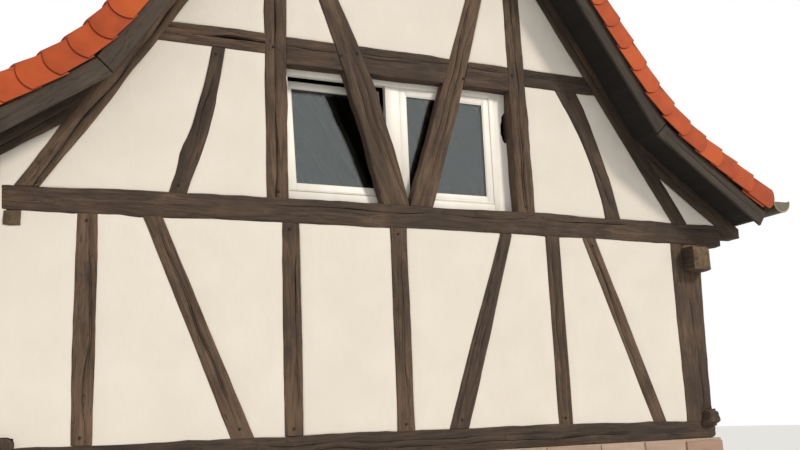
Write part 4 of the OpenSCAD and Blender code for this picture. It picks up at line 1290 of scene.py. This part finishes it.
def sash(low, high, opening_low, opening_high):
    """Wood, glass and spacers of one sash, with its outer face at -Y."""
    (x0, y0, z0), (x1, y1, z1) = low, high
    (u0, v0), (u1, v1) = opening_low, opening_high
    wood = ring_of((x0 + ease, y0, z0 + ease), (x1 - ease, y1, z1 - ease), (u0, v0), (u1, v1))
    wood += ring_of((u0 - 0.001, y0 + 0.005, v0 - 0.001), (u1 + 0.001, y0 + 0.015, v1 + 0.001),
                    (u0 + bead, v0 + bead), (u1 - bead, v1 - bead), rim=0.0035)
    drip_low, drip_high = (x0 + 0.012, y0 - 0.003, z0 + 0.012), (x1 - 0.012, y0 + 0.01, z0 + 0.03)
    wood.append(member(drip_low, drip_high, rim=0.004))
    glass = [member((u0 - sheet_lap, y0 + place, v0 - sheet_lap),
                    (u1 + sheet_lap, y0 + place + sheet_thick, v1 + sheet_lap), rim=0.0006)
             for place in sheet_places]
    edging = ring_of((u0, y0 + 0.0198, v0), (u1, y0 + 0.0352, v1), (u0 + edge_wide, v0 + edge_wide),
                     (u1 - edge_wide, v1 - edge_wide), rim=0.001)
    return wood, glass, edging


# %% [markdown]
# The front gable has two sashes. The left one is tilted inwards at its head, and it is turned about its
# foot by the angle that its CAD box gives. The rear gable has the same two sashes, both closed.

# %% Sashes of the gables
window_low, window_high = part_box("window_frames")
sash_low, sash_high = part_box("closed_sashes")
tilted_low, tilted_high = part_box("tilted_sash")
frame_thick, sash_thick, leaning_thick = 0.066, 0.054, 0.0536
frame_y0, frame_y1 = window_low.y, window_low.y + frame_thick
sash_y0, sash_y1 = sash_low.y, sash_low.y + sash_thick
foot_z, head_z = sash_low.z, sash_high.z
left_light, right_light = (-1.2425, -0.1203), (0.0503, 1.1892)
left_pane, right_pane, pane_z = (-1.1628, -0.2), (0.13, 1.1095), (4.04, 5.145)
tilt = math.asin((tilted_high.y - tilted_low.y - leaning_thick) / (head_z - foot_z))
pivot = Vector((0, sash_y1, foot_z))
lean_in = Matrix.Translation(pivot) @ Matrix.Rotation(-tilt, 4, "X") @ Matrix.Translation(-pivot)
left_sash, right_sash = (
    ((light[0], sash_y0, foot_z), (light[1], sash_y1, head_z), (pane[0], pane_z[0]), (pane[1], pane_z[1]))
    for light, pane in ((left_light, left_pane), (right_light, right_pane)))
sashes = {"tilted": [], "closed": []}
glasses, spacers = [], []
for key, shape, matrix in (("tilted", left_sash, lean_in), ("closed", right_sash, as_it_is),
                           ("closed", left_sash, mirror_y), ("closed", right_sash, mirror_y)):
    wood, glass, spacer = sash(*shape)
    sashes[key] += turned(wood, matrix)
    glasses += turned(glass, matrix)
    spacers += turned(spacer, matrix)
print("the left sash leans in by", round(math.degrees(tilt), 1), "degrees")
gather(sashes["tilted"], "sash_tilted_in", window_paint, ("tilted_sash",))
gather(sashes["closed"], "sashes_closed", window_paint, ("closed_sashes",))
gather(glasses, "glass_gables", window_glass, ("window_panes",), angle=8)
gather(spacers, "glass_spacers_gables", spacer_metal)

# %% [markdown]
# The frame stands in its bay behind the struts. On its right a lining board fills the gap to the post.
# On the real house a piece has broken out of that board. The board starts as a flat grid, the faces of
# the break are deleted, the points of its rim are moved onto a curve, and the sheet gets its thickness
# after that, so the broken edge is closed like the others.

# %% Window frames and lining
def break_edge(point, right, low, high):
    """How far left the break reaches at the height of a point."""
    part = (point.z - low) / (high - low)
    if not 0 < part < 1:
        return right
    return right - 0.03 - 0.055 * math.sin(part * math.pi) ** 0.5 - 0.02 * noise.noise(point * 12)


def lining(low, high, thick, broken, dice):
    bm = bmesh.new()
    turn = Matrix.Translation((low + high) / 2) @ Matrix.Rotation(math.pi / 2, 4, "X")
    bmesh.ops.create_grid(bm, x_segments=9, y_segments=64, size=0.5,
                          matrix=turn @ Matrix.Diagonal((high.x - low.x, high.z - low.z, 1, 1)))
    if broken:
        centres = {face: face.calc_center_median() for face in bm.faces}
        lost = [face for face, point in centres.items() if point.x > break_edge(point, high.x, *broken)]
        bmesh.ops.delete(bm, geom=lost, context="FACES")
        for vert in bm.verts:
            away = break_edge(vert.co, high.x, *broken) - vert.co.x
            inside = low.x + 0.002 < vert.co.x < high.x - 0.001
            if vert.is_boundary and inside and abs(away) < 0.014:
                vert.co.x += max(-0.006, min(0.006, away)) + dice.uniform(-0.0015, 0.0015)
    drawn_out(bm, (0, thick, 0))
    grain_layer = bm.verts.layers.float_vector.new("grain")
    for vert in bm.verts:
        vert[grain_layer] = Vector((vert.co.z, vert.co.x, vert.co.y))
    return marked(bm, "tone", 0.3)


frame_right, lining_back, lining_thick = 1.2595, 0.012, 0.018
break_from_to = (4.7, 5.06)
lining_low = Vector((frame_right + 0.004, frame_y0 + lining_back, window_low.z))
lining_high = Vector((window_high.x, frame_y0 + lining_back, window_high.z))
wood = []
for matrix, broken in ((as_it_is, break_from_to), (mirror_y, None)):
    members = [member(low, high) for low, high in (
        ((window_low.x, frame_y0, window_low.z), (left_light[0] + 0.0005, frame_y1, window_high.z)),
        ((left_light[1], frame_y0, foot_z), (right_light[0], frame_y1, head_z)),
        ((right_light[1], frame_y0, window_low.z), (frame_right, frame_y1, window_high.z)),
        ((left_light[0], frame_y0, window_low.z - 0.01), (right_light[1], frame_y1, foot_z)),
        ((left_light[0], frame_y0, head_z), (right_light[1], frame_y1, window_high.z)))]
    members.append(member((left_light[0] - 0.03, frame_y0 + 0.001, foot_z - 0.028),
                          (right_light[1] + 0.03, frame_y0 + 0.03, foot_z - 0.006), rim=0.006))
    members.append(lining(lining_low, lining_high, lining_thick, broken, random.Random("lining")))
    wood += turned(members, matrix)
gather(wood, "window_frames_gables", window_paint, ("window_frames",))

# %% [markdown]
# The windows of the side walls are double casements. A cover strip closes the joint where the two sashes
# meet. They are built facing the front and turned to their wall at the end, so the helpers above serve
# them too.

# %% Side windows
jamb, stile, half_strip, half_meeting = 0.045, 0.115, 0.018, 0.0575
face = -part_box("side_windows")[1].x
back = face + frame_thick
wood, glasses, spacers = [], [], []
for solid in solids_of("side_windows"):
    (y0, y1), (z0, z1) = extent(solid, Y), extent(solid, Z)
    on_right = middle_of(solid).x > 0
    solid.free()
    a, b = (y0, y1) if on_right else (-y1, -y0)
    middle, low, high = (a + b) / 2, z0 + jamb, z1 - jamb
    parts = ring_of((a, face, z0), (b, back, z1), (a + jamb, low), (b - jamb, high))
    parts.append(member((middle - half_strip, face, low), (middle + half_strip, face + 0.014, high),
                        rim=0.005))
    for ends, pane in (((a + jamb, middle), (a + stile, middle - half_meeting)),
                       ((middle, b - jamb), (middle + half_meeting, b - stile))):
        leaf, glass, spacer = sash((ends[0], face + 0.007, low), (ends[1], back, high),
                                   (pane[0], z0 + stile), (pane[1], z1 - stile))
        parts += leaf
        glasses += turned(glass, to_right if on_right else to_left)
        spacers += turned(spacer, to_right if on_right else to_left)
    wood += turned(parts, to_right if on_right else to_left)
gather(wood, "side_casements", window_paint, ("side_windows",))
gather(glasses, "glass_sides", window_glass, ("side_panes",), angle=8)
gather(spacers, "glass_spacers_sides", spacer_metal)

# %% [markdown]
# The door is made of upright planks on two ledges. The planks are worn like the timbers, only less.

# %% Plank door
door_low, door_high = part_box("plank_door")
plank_count, door_joint = 6, 0.0012
ledge_heights, hinge_heights = (0.32, 1.62), (0.38, 1.68)
plank_wide = (door_high.y - door_low.y) / plank_count
dice = random.Random("door")
planks = []
for i in range(plank_count):
    start = door_low.y + i * plank_wide
    plank = brick(Vector((door_low.x + 0.004, start + door_joint, door_low.z + 0.004)),
                  Vector((door_high.x - 0.012, start + plank_wide - door_joint, door_high.z - 0.004)))
    round_off(plank, 0.004)
    planks.append(hewn(plank, dice, arris=0.0015, gap=0.5, wave=0.001, checks=0, fine=False))
for height in ledge_heights:
    planks.append(member((door_high.x - 0.013, door_low.y + 0.05, door_low.z + height),
                         (door_high.x, door_high.y - 0.05, door_low.z + height + 0.12), rim=0.004))
gather(planks, "door_planks", board_wood, ("plank_door",))

# %% [markdown]
# Two strap hinges, a ring handle and a key plate of blackened iron sit on the door. The straps taper
# towards their round ends, so each one is a member whose points close in on its middle line.

# %% Fittings of the door
face, nail_count, strap_end = door_low.x + 0.004, 5, 0.28
fittings = []
for height in hinge_heights:
    middle = door_low.z + height
    hinge = member((face - 0.005, door_low.y + 0.01, middle - 0.024),
                   (face + 0.001, door_high.y - strap_end, middle + 0.024), rim=0.0015)
    for vert in hinge.verts:
        taper = (vert.co.y - door_low.y) / (door_high.y - door_low.y)
        vert.co.z = middle + (vert.co.z - middle) * (1.0 - 0.62 * taper)
    tip = bmesh.new()
    turn = Matrix.Translation((face - 0.002, door_high.y - strap_end, middle))
    bmesh.ops.create_cone(tip, cap_ends=True, segments=20, radius1=0.026, radius2=0.022, depth=0.006,
                          matrix=turn @ Matrix.Rotation(math.pi / 2, 4, "Y"))
    fittings += [hinge, tip]
    for i in range(nail_count):
        nail = bmesh.new()
        turn = Matrix.Translation((face - 0.005, door_low.y + 0.07 + 0.2 * i, middle))
        bmesh.ops.create_uvsphere(nail, u_segments=8, v_segments=6, radius=0.007,
                                  matrix=turn @ Matrix.Diagonal((0.6, 1, 1, 1)))
        fittings.append(nail)

hang = Vector((face - 0.014, door_high.y - 0.125, door_low.z + 1.0))
plate = member((face - 0.004, hang.y - 0.025, hang.z - 0.07), (face + 0.001, hang.y + 0.025, hang.z + 0.13),
               rim=0.0015)
ring = bmesh.new()
bmesh.ops.create_circle(ring, segments=8, radius=0.006, matrix=Matrix.Translation(hang + Y * 0.036))
bmesh.ops.spin(ring, geom=ring.verts[:] + ring.edges[:], cent=hang, axis=X, angle=2 * math.pi, steps=28,
               use_merge=True)
bmesh.ops.remove_doubles(ring, verts=ring.verts, dist=1e-5)
bmesh.ops.recalc_face_normals(ring, faces=ring.faces)
pin = member((face - 0.018, hang.y - 0.008, hang.z + 0.028), (face + 0.001, hang.y + 0.008, hang.z + 0.046),
             rim=0.003)
gather(fittings + [plate, ring, pin], "door_ironwork", iron)

# %% [markdown]
# The joints of the frame are held by riven oak pegs, a thumb thick and not quite round. They sit near the
# ends of each post, strut and brace and where two timbers cross, dark from their end grain, and stand out
# of the timber by a few millimetres. About every third one has gone.

# %% Pegs
def peg(x, y, z, out, dice):
    bm = bmesh.new()
    turn = Matrix.Translation((x, y + out.y * 0.002, z)) @ out.to_track_quat("Z", "Y").to_matrix().to_4x4()
    turn = turn @ Matrix.Rotation(dice.uniform(0, 1), 4, "Z")
    bmesh.ops.create_cone(bm, cap_ends=True, segments=7, radius1=0.0145, radius2=0.0125, depth=0.022,
                          matrix=turn)
    round_off(bm, 0.002, segments=1, edges=sharp_edges(bm, 50))
    return bm


peg_wood = weathered_oak("peg end grain", (28, 22, 18), (44, 35, 29), (62, 50, 41))
dice = random.Random("pegs")
pegs = []
share_gone = 0.35
crossings = ((-0.675, 5.459), (-0.489, 5.506), (0.801, 5.376), (1.455, 5.492), (-1.429, 5.459))
inset_at = {"lower_posts": 0.07, "lower_braces": 0.09, "upper_posts": 0.07, "window_struts": 0.1,
            "curved_braces": 0.08}
for x, z in crossings:
    pegs += [peg(x, -gable_face, z, -Y, dice), peg(x, gable_face, z, Y, dice)]
for node, inset in inset_at.items():
    for solid in solids_of(node):
        middle = middle_of(solid)
        out = turned_outwards(middle)
        front = max(v.co.dot(out) for v in solid.verts)
        low, high = extent(solid, Z)
        points = [v.co.copy() for v in solid.verts]
        solid.free()
        if abs(middle.y) < gable_face - wall_thick:
            continue
        for height in (low + inset, high - inset):
            at_foot = height < middle.z
            if dice.random() < share_gone or (node == "window_struts" and at_foot):
                continue
            end = [point.x for point in points if abs(point.z - (low if at_foot else high)) < 0.12]
            if end:
                x = sum(end) / len(end)
                lean = (middle.x - x) / max(0.3, abs(middle.z - height)) * inset
                pegs.append(peg(x + lean + dice.uniform(-0.015, 0.015), front * out.y, height, out, dice))
print("pegs:", len(pegs))
gather(pegs, "oak_pegs", peg_wood)

# %% [markdown]
# The CAD nodes whose shapes are right as they are only get their finish.

# %% Finishes on the nodes that stay
# The roof decks show under the eaves and take the boards painted nearly black as shade.
for node, finish in (("ground_floor", sawn_boards), ("attic_floor", sawn_boards),
                     ("left_roof_deck", soffit_boards_in_shade), ("right_roof_deck", soffit_boards_in_shade)):
    nodes[node].data.materials.clear()
    nodes[node].data.materials.append(finish)

# %% [markdown]
# The stage: a pale floor, and a white world that only the camera, reflections and glass see at full
# strength. The house itself is lit by a weaker one.

# %% Floor and background
scene = bpy.context.scene
plane = bmesh.new()
bmesh.ops.create_grid(plane, x_segments=1, y_segments=1, size=60.0)
floor = bpy.data.objects.new("floor", as_mesh(plane, "floor"))
scene.collection.objects.link(floor)
floor.data.materials.append(Recipe("floor", Roughness=0.95, Base_Color=paint(232, 232, 230)).material)

world = bpy.data.worlds.new("studio")
scene.world = world
world.use_nodes = True
tree = world.node_tree
rays = tree.nodes.new("ShaderNodeLightPath")
seen = rays.outputs["Is Camera Ray"]
for kind in ("Is Glossy Ray", "Is Transmission Ray"):
    either = tree.nodes.new("ShaderNodeMath")
    either.operation = "MAXIMUM"
    tree.links.new(seen, either.inputs[0])
    tree.links.new(rays.outputs[kind], either.inputs[1])
    seen = either.outputs[0]
as_light, as_background = 0.62, 1.0
level = tree.nodes.new("ShaderNodeMapRange")
level.inputs["To Min"].default_value = as_light
level.inputs["To Max"].default_value = as_background
background = tree.nodes["Background"]
background.inputs["Color"].default_value = (1, 1, 1, 1)
tree.links.new(seen, level.inputs["Value"])
tree.links.new(level.outputs[0], background.inputs["Strength"])

# %% [markdown]
# A soft sun from the front right gives the timbers and the eaves their shadows. The camera stands where
# the photo was taken from: its place, direction and lens were worked out from the edges of the timbers.

# %% Light and camera
sun = bpy.data.objects.new("sun", bpy.data.lights.new("sun", "SUN"))
sun.data.energy = 1.9
sun.data.angle = math.radians(9)
sun.data.color = (1.0, 0.93, 0.84)
sun.rotation_euler = Vector((0.62, -0.95, 0.72)).to_track_quat("Z", "Y").to_euler()
scene.collection.objects.link(sun)

camera = bpy.data.objects.new("camera", bpy.data.cameras.new("camera"))
eye = Matrix.Translation((-4.158, -13.3113, 1.5947))
forward = Vector((0.41237, 0.88756, 0.20535)).normalized()
right = forward.cross(Vector((-0.04927, -0.20335, 0.97786))).normalized()
camera.matrix_world = eye @ Matrix((right, right.cross(forward), -forward)).transposed().to_4x4()
camera.data.sensor_width = 36
camera.data.lens = 42.19
camera.data.clip_end = 500
scene.collection.objects.link(camera)
scene.camera = camera
scene.view_settings.view_transform = "Standard"
